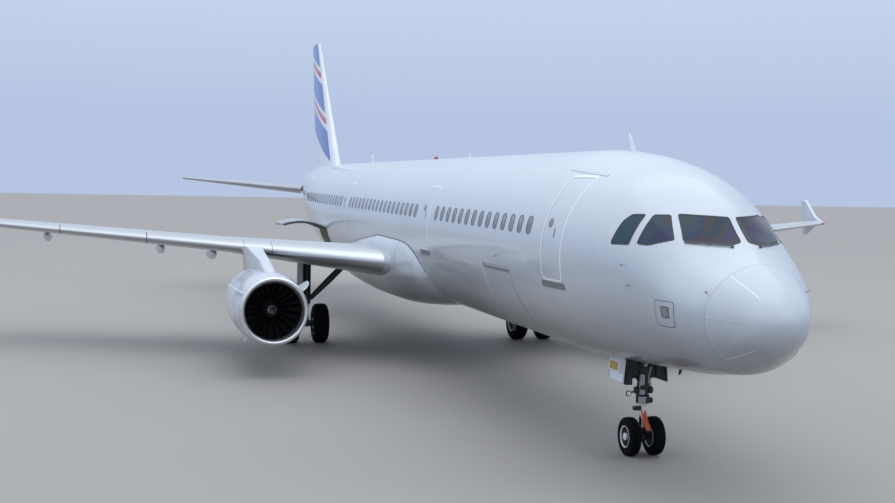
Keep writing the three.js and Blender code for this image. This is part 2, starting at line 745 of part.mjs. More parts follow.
// Pylon between the nacelle and the wing
const PYLON_HALF = 170;
const PYLON_OUTLINE = [
  // aft, height
  [15900, 2650], [17300, 3080], [18700, 3330], [19350, 3360], [21600, 3100], [22300, 2890],
  [21200, 2560], [20150, 2330], [19600, 2100], [17800, 2300],
];
const pylonPlan = planPrism([
  [15850, ENGINE.y], [16500, ENGINE.y - PYLON_HALF * 0.8], [17500, ENGINE.y - PYLON_HALF],
  [20600, ENGINE.y - PYLON_HALF], [22350, ENGINE.y - 25], [22350, ENGINE.y + 25],
  [20600, ENGINE.y + PYLON_HALF], [17500, ENGINE.y + PYLON_HALF], [16500, ENGINE.y + PYLON_HALF * 0.8],
], LOW, HIGH);
const cowlEnvelope = turnedAboutX(
  [[0, 0], [793, 0], ...COWL_OUTER.map(([r, d]) => [r + SEAT_GAP * 1.02, d]), [681, 5100], [0, 5100]],
  ENGINE.sides,
);
const pylon = sidePrism(PYLON_OUTLINE, ENGINE.y - 400, ENGINE.y + 400)
  .intersect(pylonPlan)
  .subtract(cowlEnvelope)
  .subtract(wingGrown);
addPair('pylon', pylon, SILVER);

// Wheels: [radius, outboard] profiles of tyre and rim
function tyreProfile({ radius, width, rim }) {
  const half = width / 2;
  return [
    [rim, -0.36 * width], [rim + 0.25 * (radius - rim), -half], [rim + 0.7 * (radius - rim), -half],
    [radius, -0.3 * width], [radius, 0.3 * width], [rim + 0.7 * (radius - rim), half],
    [rim + 0.25 * (radius - rim), half], [rim, 0.36 * width],
  ];
}

function rimProfile({ rim, width }, bore) {
  const edge = rim - SEAT_GAP * 1.1;
  return [
    [bore, -0.3 * width], [0.5 * rim, -0.3 * width], [0.8 * rim, -0.18 * width], [edge, -0.4 * width],
    [edge, 0.4 * width], [0.8 * rim, 0.18 * width], [0.5 * rim, 0.3 * width], [bore, 0.3 * width],
  ];
}

const NOSE_AXLE = { z: NOSE_GEAR.radius * FLAT, radius: 45, bore: 49 };
const MAIN_AXLE = { z: MAIN_GEAR.radius * FLAT, radius: 75, bore: 79 };

// Each row: name, gear, axle, y of the wheel's middle
const WHEELS = [
  ['nose_left', NOSE_GEAR, NOSE_AXLE, NOSE_GEAR.track],
  ['nose_right', NOSE_GEAR, NOSE_AXLE, -NOSE_GEAR.track],
  ['main_left_outer', MAIN_GEAR, MAIN_AXLE, MAIN_GEAR.y + MAIN_GEAR.track],
  ['main_left_inner', MAIN_GEAR, MAIN_AXLE, MAIN_GEAR.y - MAIN_GEAR.track],
  ['main_right_outer', MAIN_GEAR, MAIN_AXLE, -MAIN_GEAR.y - MAIN_GEAR.track],
  ['main_right_inner', MAIN_GEAR, MAIN_AXLE, -MAIN_GEAR.y + MAIN_GEAR.track],
];
WHEELS.forEach(([name, gear, axle, y]) => {
  const tyre = turnedAboutY(tyreProfile(gear), WHEEL_SIDES, gear.aft, y, axle.z);
  const rim = turnedAboutY(rimProfile(gear, axle.bore), WHEEL_SIDES, gear.aft, y, axle.z);
  addNode(`tyre_${name}`, tyre, TYRE);
  addNode(`rim_${name}`, rim, WHITE);
});

// An axle through both wheels: collars face the hubs' inner sides, nuts their outer ends
function axleThrough(gear, axle, y) {
  const hub = 0.3 * gear.width + SEAT_GAP;
  const inner = gear.track - hub;
  const outer = gear.track + hub;
  const cut = (from, to, r) => rod(at(gear.aft, y + from, axle.z), at(gear.aft, y + to, axle.z), r);
  const collar = 1.35 * axle.radius;
  return joined(
    cut(-outer - 20, outer + 20, axle.radius),
    cut(-inner, inner, collar),
    cut(outer, outer + 30, collar),
    cut(-outer - 30, -outer, collar),
  );
}

// Nose leg: the strut stays with the airframe, and the lower part turns in it to steer
const STEER = { joint: 1180, strut: 105, piston: 62 };
const noseStrut = rod(
  at(NOSE_GEAR.aft, 0, STEER.joint + SEAT_GAP), at(NOSE_GEAR.aft, 0, NOSE_BAY.roof - SEAT_GAP), STEER.strut,
);
const noseTrunnion = rod(
  at(NOSE_GEAR.aft, -NOSE_BAY.half + SEAT_GAP, 2380), at(NOSE_GEAR.aft, NOSE_BAY.half - SEAT_GAP, 2380), 60,
);
const noseDrag = rod(at(NOSE_GEAR.aft, 0, 1650), at(NOSE_BAY.from + 90, 0, 2560), 42);
const noseDragCross = rod(at(NOSE_BAY.from + 90, -NOSE_BAY.half + SEAT_GAP, 2520),
  at(NOSE_BAY.from + 90, NOSE_BAY.half - SEAT_GAP, 2520), 36);
const noseArms = [-1, 1].map((side) => rod(
  at(NOSE_GEAR.aft, 0, STEER.joint + 170), at(NOSE_GEAR.aft, side * 330, 2380), 40, 40, 8,
));
addNode('nose_leg', joined(noseStrut, noseTrunnion, noseDrag, noseDragCross, ...noseArms), STEEL);

function torqueLinks(aft, y, top, bottom, reach, width) {
  const knee = (top + bottom) / 2;
  return joined(
    sidePrism([[aft, top], [aft, top - 70], [aft + reach, knee - 25], [aft + reach, knee + 35]],
      y - width / 2, y + width / 2),
    sidePrism([[aft, bottom], [aft, bottom + 70], [aft + reach, knee + 30], [aft + reach, knee - 35]],
      y - width / 2, y + width / 2),
  );
}

const steeringCollar = rod(
  at(NOSE_GEAR.aft, 0, STEER.joint - 190), at(NOSE_GEAR.aft, 0, STEER.joint), 130, 130, 16,
);
const nosePiston = rod(
  at(NOSE_GEAR.aft, 0, NOSE_AXLE.z), at(NOSE_GEAR.aft, 0, STEER.joint - 100), STEER.piston,
);
addNode('nose_steering_leg', joined(
  steeringCollar, nosePiston, axleThrough(NOSE_GEAR, NOSE_AXLE, 0),
  torqueLinks(NOSE_GEAR.aft, 0, 1120, 420, -330, 130),
), STEEL);

// Nose gear doors hang open from the edges of the bay
const NOSE_DOOR = { from: 4950, to: 5660, top: 1950, low: 1420, thick: 30, splay: 45 };
const doorHang = NOSE_BAY.half + 2;
const noseDoor = frontPrism([
  [doorHang, NOSE_DOOR.top], [doorHang + NOSE_DOOR.thick, NOSE_DOOR.top],
  [doorHang + NOSE_DOOR.thick + NOSE_DOOR.splay, NOSE_DOOR.low],
  [doorHang + NOSE_DOOR.splay, NOSE_DOOR.low],
], NOSE_DOOR.from, NOSE_DOOR.to).subtract(hull(4000, 7000, SEAT_GAP));
addPair('nose_gear_door', noseDoor, SILVER);

// Main gear, port side: leg with axle and torque links, side stay, and the door fixed to the leg
const MAIN_LEG = { cylinder: 150, piston: 95, seal: 1250, stayEye: 1430 };
const mainRod = (from, to, radius) => rod(
  at(MAIN_GEAR.aft, MAIN_GEAR.y, from), at(MAIN_GEAR.aft, MAIN_GEAR.y, to), radius, radius, 14,
);
const mainCylinder = mainRod(MAIN_LEG.seal, 3000, MAIN_LEG.cylinder);
const mainPiston = mainRod(MAIN_AXLE.z, 1400, MAIN_LEG.piston);
const mainLeg = joined(
  mainCylinder, mainPiston, axleThrough(MAIN_GEAR, MAIN_AXLE, MAIN_GEAR.y),
  torqueLinks(MAIN_GEAR.aft, MAIN_GEAR.y, 1420, 700, 380, 150),
).subtract(wingGrown);
addPair('main_gear_leg', mainLeg, STEEL);

const stayTop = at(MAIN_GEAR.aft - 150, 2350, 2480);
const stayFoot = at(MAIN_GEAR.aft, MAIN_GEAR.y, MAIN_LEG.stayEye);
const sideStay = rod(stayTop, stayFoot, 70)
  .subtract(bodyGrown)
  .subtract(wingGrown)
  .subtract(mainRod(500, 3000, MAIN_LEG.cylinder + SEAT_GAP * 1.05));
addPair('side_stay', sideStay, STEEL);

const LEG_DOOR = { inner: MAIN_GEAR.y + MAIN_LEG.cylinder + 2, thick: 36 };
const legDoor = sidePrism(
  [[21450, 2900], [21380, 1900], [21560, 1330], [22420, 1330], [22560, 1900], [22500, 2900]],
  LEG_DOOR.inner + 14, LEG_DOOR.inner + 14 + LEG_DOOR.thick,
).add(rod(at(MAIN_GEAR.aft, LEG_DOOR.inner - 1, 2150), at(MAIN_GEAR.aft, LEG_DOOR.inner + 20, 2150), 60))
  .subtract(wingGrown);
addPair('main_gear_door', legDoor, SILVER);

// Fin and rudder
const FIN = [
  // z, leading edge aft, chord, thickness
  [5400, 36450, 6420, 0.1],
  [6100, 37060, 5760, 0.1],
  [11760, 42150, 1920, 0.095],
];
function finPoint(z, part) {
  const [, edge, chord] = between(FIN, z);
  return at(edge + part * chord, 0, z);
}

function finBody() {
  return loft(FIN.map(([z, edge, chord, thickness]) => (
    aerofoil(thickness, 0).map(([u, v]) => at(edge + u * chord, v * chord, z))
  )));
}

const RUDDER = { from: 6150, to: 11500, chord: 0.68 };
const halfThick = (table, where, part) => {
  const [, , chord, thickness] = between(table, where);
  return between(aerofoil(thickness, 0).slice(0, CHORD_STEPS.length), part)[1] * chord;
};
const dorsal = sidePrism([[35300, 5800], [36900, 6060], [38200, 7100], [38400, 5800]], -60, 60);
const rudderLine = [RUDDER.from, RUDDER.to].map((z) => finPoint(z, RUDDER.chord));
const [rudderFoot, rudderHead] = rudderLine.map((p) => NOSE_X - p.x);
// Its level ends swing up and down across the sloping hinge line, so their gaps are wider
const END_GAPS = 4;
const rudderRegion = (grow) => sidePrism([
  [rudderFoot - grow, RUDDER.from - END_GAPS * grow], [46500, RUDDER.from - END_GAPS * grow],
  [46500, RUDDER.to + END_GAPS * grow], [rudderHead - grow, RUDDER.to + END_GAPS * grow],
], -900, 900);
const finParts = hinged(
  finBody().add(dorsal).subtract(hull(34000, LENGTH, SEAT_GAP)), rudderRegion, ...rudderLine,
  halfThick(FIN, RUDDER.from, RUDDER.chord), halfThick(FIN, RUDDER.to, RUDDER.chord),
);
addNode('fin', finParts.fixed, BLUE);
addNode('rudder', finParts.moving, BLUE);

// Tailplane and elevators: both halves of the tailplane are one piece on the pivot beam
const TAILPLANE = [
  // y, leading edge aft, chord, thickness, height
  [600, 38220, 4180, 0.1, 4700],
  [1200, 38600, 3900, 0.1, 4748],
  [6225, 41800, 1350, 0.09, 5150],
];
const ELEVATOR = { from: 1500, to: 6225, chord: 0.7 };
const TAIL_CLEARANCE = 30;
const TRIM_STEPS = [4, 2, 0, -4.5, -9, -13.5];

function tailBody() {
  return loft(TAILPLANE.map(([y, edge, chord, thickness, z]) => (
    aerofoil(thickness, 0).map(([u, v]) => at(edge + u * chord, y, z + v * chord))
  )));
}

function tailPoint(y, part) {
  const [, edge, chord, , z] = between(TAILPLANE, y);
  return at(edge + part * chord, y, z);
}

// The root keeps clear of the fuselage through the whole trim range
function hullSwept() {
  const grown = hull(35500, LENGTH, TAIL_CLEARANCE);
  return joined(...TRIM_STEPS.map((degrees) => {
    const geometry = toGeometry(grown, false);
    const pivot = at(PIVOT.aft, 0, PIVOT.z);
    geometry.translate(-pivot.x, -pivot.y, -pivot.z);
    geometry.rotateY(THREE.MathUtils.degToRad(degrees));
    geometry.translate(pivot.x, pivot.y, pivot.z);
    return solid(geometry);
  }));
}

const elevatorLine = [ELEVATOR.from, ELEVATOR.to].map((y) => tailPoint(y, ELEVATOR.chord));
const pastTip = elevatorLine[1].clone().lerp(elevatorLine[0], -0.1);
const tailParts = hinged(
  tailBody().subtract(hullSwept()),
  (grow) => behindHinge(elevatorLine[0], pastTip, grow),
  ...elevatorLine,
  halfThick(TAILPLANE, ELEVATOR.from, ELEVATOR.chord), halfThick(TAILPLANE, ELEVATOR.to, ELEVATOR.chord),
);
const tailRight = solid(toGeometry(tailParts.fixed, true));
const pivotBeam = rod(
  at(PIVOT.aft, -1500, PIVOT.z), at(PIVOT.aft, 1500, PIVOT.z), PIVOT.radius, PIVOT.radius, PIVOT.sides,
);
addNode('tailplane', joined(tailParts.fixed, pivotBeam, tailRight), SILVER);
addPair('elevator', tailParts.moving, SILVER);

export default airliner;
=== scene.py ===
import json
from math import cos, pi, radians, sin

import bmesh
import bpy
import numpy as np
from mathutils import Matrix, Vector


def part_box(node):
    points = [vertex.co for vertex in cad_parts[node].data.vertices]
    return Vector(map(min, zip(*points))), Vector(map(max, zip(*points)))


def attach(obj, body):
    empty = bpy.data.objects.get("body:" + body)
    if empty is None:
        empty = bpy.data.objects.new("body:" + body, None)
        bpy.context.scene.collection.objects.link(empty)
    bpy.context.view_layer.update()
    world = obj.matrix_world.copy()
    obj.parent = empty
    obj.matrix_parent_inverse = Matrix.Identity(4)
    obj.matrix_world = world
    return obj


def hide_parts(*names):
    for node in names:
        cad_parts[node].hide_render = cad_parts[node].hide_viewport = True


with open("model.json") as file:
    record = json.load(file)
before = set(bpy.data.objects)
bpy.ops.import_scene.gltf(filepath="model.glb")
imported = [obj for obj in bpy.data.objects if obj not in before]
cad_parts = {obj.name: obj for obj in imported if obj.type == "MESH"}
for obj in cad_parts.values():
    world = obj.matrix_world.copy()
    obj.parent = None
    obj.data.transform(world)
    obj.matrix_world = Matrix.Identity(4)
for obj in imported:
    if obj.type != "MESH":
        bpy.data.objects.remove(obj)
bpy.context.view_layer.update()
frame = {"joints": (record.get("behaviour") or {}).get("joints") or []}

# Model scale. The airliner is a half-size model. Sizes below are those of the full-size aircraft in metres:
# the distance aft of the nose tip, the distance to port of the centre line and the height above the ground.
MODEL = 0.5
NOSE_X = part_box("radome")[1].x


def place(aft, y, z):
    aft, y, z = np.broadcast_arrays(aft, y, z)
    return np.stack([NOSE_X - MODEL * aft, MODEL * y, MODEL * z], axis=-1)


# Camera. It looks down from a terminal window ahead of the right wing, back along the whole right side,
# with the nose near the right edge of the picture and the left wing hidden behind the fuselage.
EYE = dict(aft=-16.013, y=-9.979, z=5.153)
GAZE = dict(yaw=164.073, pitch=-3.23, roll=1.179)
PHOTO_WIDTH, FOCAL_PIXELS, SENSOR = 895, 1206, 36


def shown(name, data):
    thing = bpy.data.objects.new(name, data)
    bpy.context.scene.collection.objects.link(thing)
    return thing


camera = bpy.data.cameras.new("camera")
camera.sensor_width = SENSOR
camera.lens = FOCAL_PIXELS / PHOTO_WIDTH * SENSOR
camera.clip_end = 300
viewer = shown("camera", camera)
bpy.context.scene.camera = viewer
yaw, pitch, roll = (radians(GAZE[turn]) for turn in ("yaw", "pitch", "roll"))
ahead = Vector((cos(pitch) * cos(yaw), cos(pitch) * sin(yaw), sin(pitch)))
level = ahead.cross(Vector((0, 0, 1))).normalized()
upright = level.cross(ahead)
across = level * cos(roll) + upright * sin(roll)
above = upright * cos(roll) - level * sin(roll)
viewer.matrix_world = Matrix((across, above, -ahead)).transposed().to_4x4()
viewer.location = Vector(place(**EYE))

# Fuselage skin. The real one is riveted aluminium sheet over frames, painted in a pale silver with mica in it.
# Its section is a slightly tall oval, pinched round the flight deck, which shrinks to a rounded nose and to an
# upswept tail cone.
HULL = np.array([
    # aft, top, bottom, half width, pinch above the widest line
    [0, 3.11, 3.09, 0.01, 0],
    [0.06, 3.29, 2.87, 0.243, 0.01],
    [0.2, 3.47, 2.68, 0.458, 0.03],
    [0.45, 3.695, 2.51, 0.657, 0.06],
    [0.8, 3.92, 2.32, 0.89, 0.12],
    [1.15, 4.1, 2.18, 1.112, 0.19],
    [1.6, 4.44, 2.11, 1.315, 0.25],
    [2.05, 4.85, 2.04, 1.4, 0.28],
    [2.5, 5.125, 1.995, 1.505, 0.24],
    [3.1, 5.38, 1.955, 1.665, 0.15],
    [4, 5.61, 1.9, 1.825, 0.07],
    [5.2, 5.8, 1.83, 1.92, 0.03],
    [6.7, 5.9, 1.76, 1.975, 0],
    [30, 5.9, 1.76, 1.975, 0],
    [31.5, 5.9, 1.9, 1.96, 0],
    [33.5, 5.9, 2.2, 1.87, 0],
    [36, 5.89, 2.75, 1.65, 0],
    [39, 5.84, 3.5, 1.25, 0],
    [42, 5.69, 4.32, 0.78, 0],
    [43.6, 5.54, 4.78, 0.48, 0],
    [44.51, 5.41, 5.04, 0.23, 0],
])
WIDEST_AT = 0.517
HULL_POINTS = 144
STATION_STEPS = dict(first=0.012, growth=0.035, longest=0.22)
RADOME_JOINT, FRONT_JOINT, REAR_JOINT, TAIL_END = 0.905, 11, 27.5, 44.51
JOINT_GAP = 0.004


def flowing(knots, values):
    """A smooth curve through rows of values that never swings past them."""
    step = np.diff(knots)
    rate = np.diff(values, axis=0) / step[:, None]
    slope = np.zeros_like(values)
    slope[0], slope[-1] = rate[0], rate[-1]
    for i in range(1, len(knots) - 1):
        same = rate[i - 1] * rate[i] > 0
        near, far = 2 * step[i] + step[i - 1], step[i] + 2 * step[i - 1]
        before, after = np.where(same, rate[i - 1], 1), np.where(same, rate[i], 1)
        slope[i] = np.where(same, (near + far) / (near / before + far / after), 0)

    def along(x):
        x = np.clip(np.asarray(x, float), knots[0], knots[-1])
        i = np.clip(np.searchsorted(knots, x) - 1, 0, len(knots) - 2)
        h = step[i][..., None]
        t = ((x - knots[i]) / step[i])[..., None]
        return ((2 * t ** 3 - 3 * t ** 2 + 1) * values[i] + (t ** 3 - 2 * t ** 2 + t) * h * slope[i]
                + (3 * t ** 2 - 2 * t ** 3) * values[i + 1] + (t ** 3 - t ** 2) * h * slope[i + 1])
    return along


hull_curve = flowing(np.sqrt(HULL[:, 0]), HULL[:, 1:])


def hull_size(aft):
    """Middle height, rise above it, drop below it, half width and pinch of the section at each station."""
    top, bottom, half, pinch = np.moveaxis(hull_curve(np.sqrt(np.maximum(aft, 0))), -1, 0)
    middle = bottom + WIDEST_AT * (top - bottom)
    return middle, top - middle, middle - bottom, half, pinch


def pinched(half, pinch, up):
    """Half width of the oval at a height: up is 1 at the crown, 0 at the widest line, -1 at the keel."""
    return half * (1 - pinch * np.clip(up, 0, 1) ** 2)


def hull_point(aft, turn):
    """The skin at a station, at an angle up from the port side."""
    middle, rise, drop, half, pinch = hull_size(aft)
    up = np.sin(turn)
    y = pinched(half, pinch, up) * np.cos(turn)
    return np.stack(np.broadcast_arrays(aft, y, middle + np.where(up > 0, rise, drop) * up), axis=-1)


def skin(loops, closed=False):
    """A closed shell through loops of points. The end loops are fanned over, or joined to each other."""
    loops = np.asarray(loops, float)
    rows, count = loops.shape[:2]
    points = list(loops.reshape(-1, 3))
    near = np.arange(count)
    far = (near + 1) % count
    faces = []
    for row in range(rows if closed else rows - 1):
        here, there = row * count, (row + 1) % rows * count
        faces += np.stack([here + near, here + far, there + far, there + near], axis=1).tolist()
    if not closed:
        for row in (0, rows - 1):
            points.append(loops[row].mean(axis=0))
            tip = len(points) - 1
            faces += [[row * count + a, row * count + b, tip] for a, b in zip(near, far)]
    return np.array(points), faces


def through(rows, closed=False):
    """The shell through rows of (aft, y, z) points of the full-size aircraft."""
    return skin([place(*np.moveaxis(np.asarray(row, float), -1, 0)) for row in rows], closed)


def of(shell, number=0):
    """The same shell in another of the piece's finishes."""
    return shell[0], shell[1], number


def build(name, shells, finishes, sharp=32):
    """One mesh object from shells of (points, faces) or (points, faces, number of the finish)."""
    points, faces, numbers, start = [], [], [], 0
    for shell in shells:
        points.append(shell[0])
        faces += [[start + i for i in face] for face in shell[1]]
        numbers += [shell[2] if len(shell) > 2 else 0] * len(shell[1])
        start += len(shell[0])
    mesh = bpy.data.meshes.new(name)
    mesh.from_pydata(np.concatenate(points).tolist(), [], faces)
    for finish in finishes:
        mesh.materials.append(finish)
    mesh.polygons.foreach_set("material_index", numbers)
    work = bmesh.new()
    work.from_mesh(mesh)
    bmesh.ops.recalc_face_normals(work, faces=work.faces)
    work.to_mesh(mesh)
    work.free()
    mesh.shade_smooth()
    mesh.set_sharp_from_angle(angle=radians(sharp))
    return shown(name, mesh)


def fit(thing, body, slot, *nodes):
    """The piece moves with a body and stands for nodes of the frame, which are hidden. The slot is not used."""
    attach(thing, body)
    if nodes:
        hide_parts(*nodes)


def piece(name, shells, finishes, body, slot, *nodes, sharp=32):
    fit(build(name, shells, finishes, sharp), body, slot, *nodes)


def carved(thing, cutter):
    """Cuts the cutter out of the thing, whose new walls take the cutter's finish."""
    cut = thing.modifiers.new("cut", "BOOLEAN")
    cut.object = cutter
    cut.operation = "DIFFERENCE"
    cut.solver = "EXACT"
    cut.material_mode = "TRANSFER"
    ready = thing.evaluated_get(bpy.context.evaluated_depsgraph_get())
    mesh = bpy.data.meshes.new_from_object(ready)
    thing.modifiers.clear()
    thing.data = mesh
    bpy.data.objects.remove(cutter)


def feed(finish, node, inputs):
    """Gives each named input of a node a value, or a link from a socket."""
    for name, value in inputs.items():
        if isinstance(value, bpy.types.NodeSocket):
            finish.node_tree.links.new(value, node.inputs[name])
        else:
            node.inputs[name].default_value = value
    return node


def added(finish, kind, inputs, **settings):
    node = finish.node_tree.nodes.new("ShaderNode" + kind)
    for name, value in settings.items():
        setattr(node, name, value)
    return feed(finish, node, inputs)


def maths(finish, operation, *values):
    return added(finish, "Math", dict(enumerate(values)), operation=operation).outputs[0]


def own_place(finish):
    return added(finish, "TexCoord", {}).outputs["Object"]


def own_axes(finish):
    return added(finish, "SeparateXYZ", {"Vector": own_place(finish)}).outputs


def ramp(finish, share, marks, interpolation="LINEAR"):
    """Colours along a share, from marks of (position, colour)."""
    node = added(finish, "ValToRGB", {"Fac": share})
    node.color_ramp.interpolation = interpolation
    elements = node.color_ramp.elements
    while len(elements) < len(marks):
        elements.new(0.5)
    for element, (position, colour) in zip(elements, marks):
        element.position = position
        element.color = (*colour, 1)
    return node.outputs["Color"]


def surface(name, colour, rough, metal=0.0, coat=0.0, mottle=0.04, mottle_size=3.0,
            grain=0.0, grain_size=200.0, stretch=(1, 1, 1), worn=None, worn_from=0.62, shine=0.5):
    """A finish with uneven tone and gloss, fine grain, and a second colour where it is worn or dirty."""
    finish = bpy.data.materials.new(name)
    finish.use_nodes = True
    spread = added(finish, "Mapping", {"Vector": own_place(finish), "Scale": stretch}).outputs["Vector"]
    cloud = added(finish, "TexNoise", {"Vector": spread, "Scale": mottle_size, "Detail": 6}).outputs["Fac"]
    marks = [(0.3, [c * (1 - mottle) for c in colour]),
             (worn_from if worn else 0.7, [min(c * (1 + mottle), 1) for c in colour])]
    if worn:
        marks.append((min(worn_from + 0.22, 0.99), worn))
    gloss = added(finish, "MapRange", {"Value": cloud, "To Min": rough * 0.85, "To Max": min(rough * 1.2, 1)})
    shader = feed(finish, finish.node_tree.nodes["Principled BSDF"], {
        "Metallic": metal, "Coat Weight": coat, "Coat Roughness": 0.06, "Specular IOR Level": shine,
        "Base Color": ramp(finish, cloud, marks), "Roughness": gloss.outputs["Result"]})
    if grain:
        fine = added(finish, "TexNoise", {"Vector": spread, "Scale": grain_size, "Detail": 3})
        bump = added(finish, "Bump", {"Height": fine.outputs["Fac"], "Strength": grain, "Distance": 0.002})
        feed(finish, shader, {"Normal": bump.outputs["Normal"]})
    return finish


def laid_over(finish, colour, share, blend="MIX"):
    """Mixes a colour into the finish, by a share that a socket gives."""
    shader = finish.node_tree.nodes["Principled BSDF"]
    under = shader.inputs["Base Color"].links[0].from_socket
    mix = added(finish, "Mix", {"Factor": share, "A": under, "B": colour}, data_type="RGBA", blend_type=blend)
    feed(finish, shader, {"Base Color": mix.outputs["Result"]})
    return finish


RING_WIDTH, ROW_WIDTH, SEAM_TONE = 0.0016, 0.0011, (0.16, 0.17, 0.19, 1)
STREAK_STRETCH, STREAK_SIZE, STREAK_SWAY = (0.25, 1.6, 1.6), 2.2, 0.5


def panelled(finish, frames, stringers, depth=0.35):
    """Adds faint skin joints: rings every so many metres along the model, and lines along it."""
    axes = own_axes(finish)
    rings, rows = (maths(finish, "LESS_THAN", maths(finish, "PINGPONG", axes[axis], pitch / 2), width)
                   for axis, pitch, width in (("X", frames, RING_WIDTH), ("Z", stringers, ROW_WIDTH)))
    return laid_over(finish, SEAM_TONE,
                     maths(finish, "MULTIPLY", maths(finish, "MAXIMUM", rings, rows), depth))


def dirt_and_painted_light(finish, tint_from, tint_full, tone, amount, axis="Z"):
    """Adds a thin uneven streaked tint that gets heavier along one axis, in lengths of the model: painted shade with
    some dirt towards the belly and the nose, and a painted sky reflection on the cabin windows.
    """
    streak_place = added(finish, "Mapping", {"Vector": own_place(finish), "Scale": STREAK_STRETCH}).outputs["Vector"]
    streaks = added(finish, "TexNoise", {"Vector": streak_place, "Scale": STREAK_SIZE, "Detail": 5}).outputs["Fac"]
    swayed = maths(finish, "MULTIPLY_ADD", streaks, STREAK_SWAY, own_axes(finish)[axis])
    film = added(finish, "MapRange", {
        "Value": swayed, "From Min": tint_from + STREAK_SWAY / 2, "From Max": tint_full + STREAK_SWAY / 2,
        "To Max": amount}, interpolation_type="SMOOTHSTEP")
    return laid_over(finish, (*tone, 1), film.outputs["Result"])


# Painted shade: the skin, the radome and the belly fairing are tinted darker and warmer towards the belly, and the
# skin and the radome darker and bluer towards the nose tip, with some real dirt and bug film in both.
BELLY_SHADE_AND_DIRT = (0.17, 0.155, 0.135)
NOSE_SHADE_AND_FILM = dict(tint_from=NOSE_X - 2.6, tint_full=NOSE_X - 1.1, tone=(0.33, 0.37, 0.43), axis="X")
SILVER = (0.60, 0.64, 0.70)
silver = panelled(surface("silver_mica_paint", SILVER, 0.3, metal=0.25, coat=0.5, mottle=0.03,
                          mottle_size=1.3, stretch=(0.35, 1, 1), grain=0.05, grain_size=900), 1.333, 0.62)
silver = dirt_and_painted_light(dirt_and_painted_light(silver, 1.75, 0.95, BELLY_SHADE_AND_DIRT, 0.68), amount=0.34, **NOSE_SHADE_AND_FILM)
plain_silver = surface("silver_paint_small_parts", SILVER, 0.32, metal=0.2, coat=0.4, mottle=0.05)
radome_paint = surface("radome_paint", (0.60, 0.64, 0.69), 0.26, metal=0.1, coat=0.5, mottle=0.02,
                       mottle_size=2, grain=0.03, grain_size=700)
radome_paint = dirt_and_painted_light(dirt_and_painted_light(radome_paint, 1.65, 1.05, BELLY_SHADE_AND_DIRT, 0.78), amount=0.3, **NOSE_SHADE_AND_FILM)
lining = surface("bay_lining", (0.30, 0.32, 0.27), 0.6, mottle=0.15, mottle_size=9, worn=(0.14, 0.14, 0.12))


def hull_shell(start, end):
    """The skin between two stations, close together on the nose and further apart behind it."""
    stations = [start]
    while stations[-1] < end:
        step = STATION_STEPS["first"] + STATION_STEPS["growth"] * stations[-1]
        stations.append(stations[-1] + min(step, STATION_STEPS["longest"]))
    stations[-1] = end
    angles = np.linspace(0, 2 * pi, HULL_POINTS, endpoint=False)
    return through([hull_point(aft, angles) for aft in stations])


piece("radome_shell", [hull_shell(0, RADOME_JOINT - JOINT_GAP)], [radome_paint],
      "airframe", "radome_paint", "radome")
nose = build("nose_skin", [hull_shell(RADOME_JOINT, FRONT_JOINT)], [silver])
piece("centre_skin", [hull_shell(FRONT_JOINT + JOINT_GAP / 4, REAR_JOINT)], [silver],
      "airframe", "silver_paint", "centre_fuselage")
tail = build("rear_skin", [hull_shell(REAR_JOINT + JOINT_GAP / 4, TAIL_END)], [silver])


def off_hull(points):
    """How far outside the skin each point is, as a share of the section: 0 on the skin."""
    aft, y, z = np.moveaxis(points, -1, 0)
    middle, rise, drop, half, pinch = hull_size(aft)
    up = (z - middle) / np.where(z > middle, rise, drop)
    return (y / pinched(half, pinch, up)) ** 2 + up ** 2 - 1


def lifted(points, by):
    """Points of the skin moved out along its normal."""
    near = 0.002
    slope = np.stack([off_hull(points + near * axis) - off_hull(points - near * axis) for axis in np.eye(3)],
                     axis=-1)
    return points + by * slope / np.linalg.norm(slope, axis=-1, keepdims=True)


def hull_side(side):
    """The skin on one side, as seen from that side: (aft, height) to a point."""
    def on(flat):
        aft, z = np.moveaxis(np.asarray(flat, float), -1, 0)
        middle, rise, drop, half, pinch = hull_size(aft)
        up = (z - middle) / np.where(z > middle, rise, drop)
        y = side * pinched(half, pinch, up) * np.sqrt(np.clip(1 - up ** 2, 0, 1))
        return np.stack([aft, y, z], axis=-1)
    return on


def evened(outline, step):
    """The closed outline with points added, so that its long sides follow a curved skin."""
    points = []
    for here, there in zip(outline, np.roll(outline, -1, axis=0)):
        count = max(1, int(np.ceil(np.linalg.norm(there - here) / step)))
        points += [here + (there - here) * k / count for k in range(count)]
    return np.array(points)


def rounded(corners, radius, steps=5, step=0.06):
    """A closed outline through the corners, each turned with a radius."""
    corners = np.asarray(corners, float)
    radii = np.broadcast_to(radius, len(corners))
    outline = []
    for i, corner in enumerate(corners):
        before, after = corners[i - 1] - corner, corners[(i + 1) % len(corners)] - corner
        cut = min(radii[i], 0.49 * np.linalg.norm(before), 0.49 * np.linalg.norm(after))
        start = corner + before / np.linalg.norm(before) * cut
        end = corner + after / np.linalg.norm(after) * cut
        outline += [(1 - t) ** 2 * start + 2 * t * (1 - t) * corner + t ** 2 * end
                    for t in np.arange(steps + 1) / steps]
    return evened(np.array(outline), step)


def oblong(front, back, low, high, radius, *steps, **more):
    """An upright rectangle in (aft, height), with rounded corners."""
    return rounded([(front, low), (back, low), (back, high), (front, high)], radius, *steps, **more)


def inset(outline, by):
    """The outline moved inwards along its own normals."""
    before, after = np.roll(outline, 1, axis=0), np.roll(outline, -1, axis=0)
    along = after - before
    normal = np.stack([-along[:, 1], along[:, 0]], axis=1)
    normal /= np.maximum(np.linalg.norm(normal, axis=1, keepdims=True), 1e-9)
    area = np.sum(outline[:, 0] * np.roll(outline[:, 1], -1) - np.roll(outline[:, 0], -1) * outline[:, 1])
    return outline + by * np.sign(area) * normal


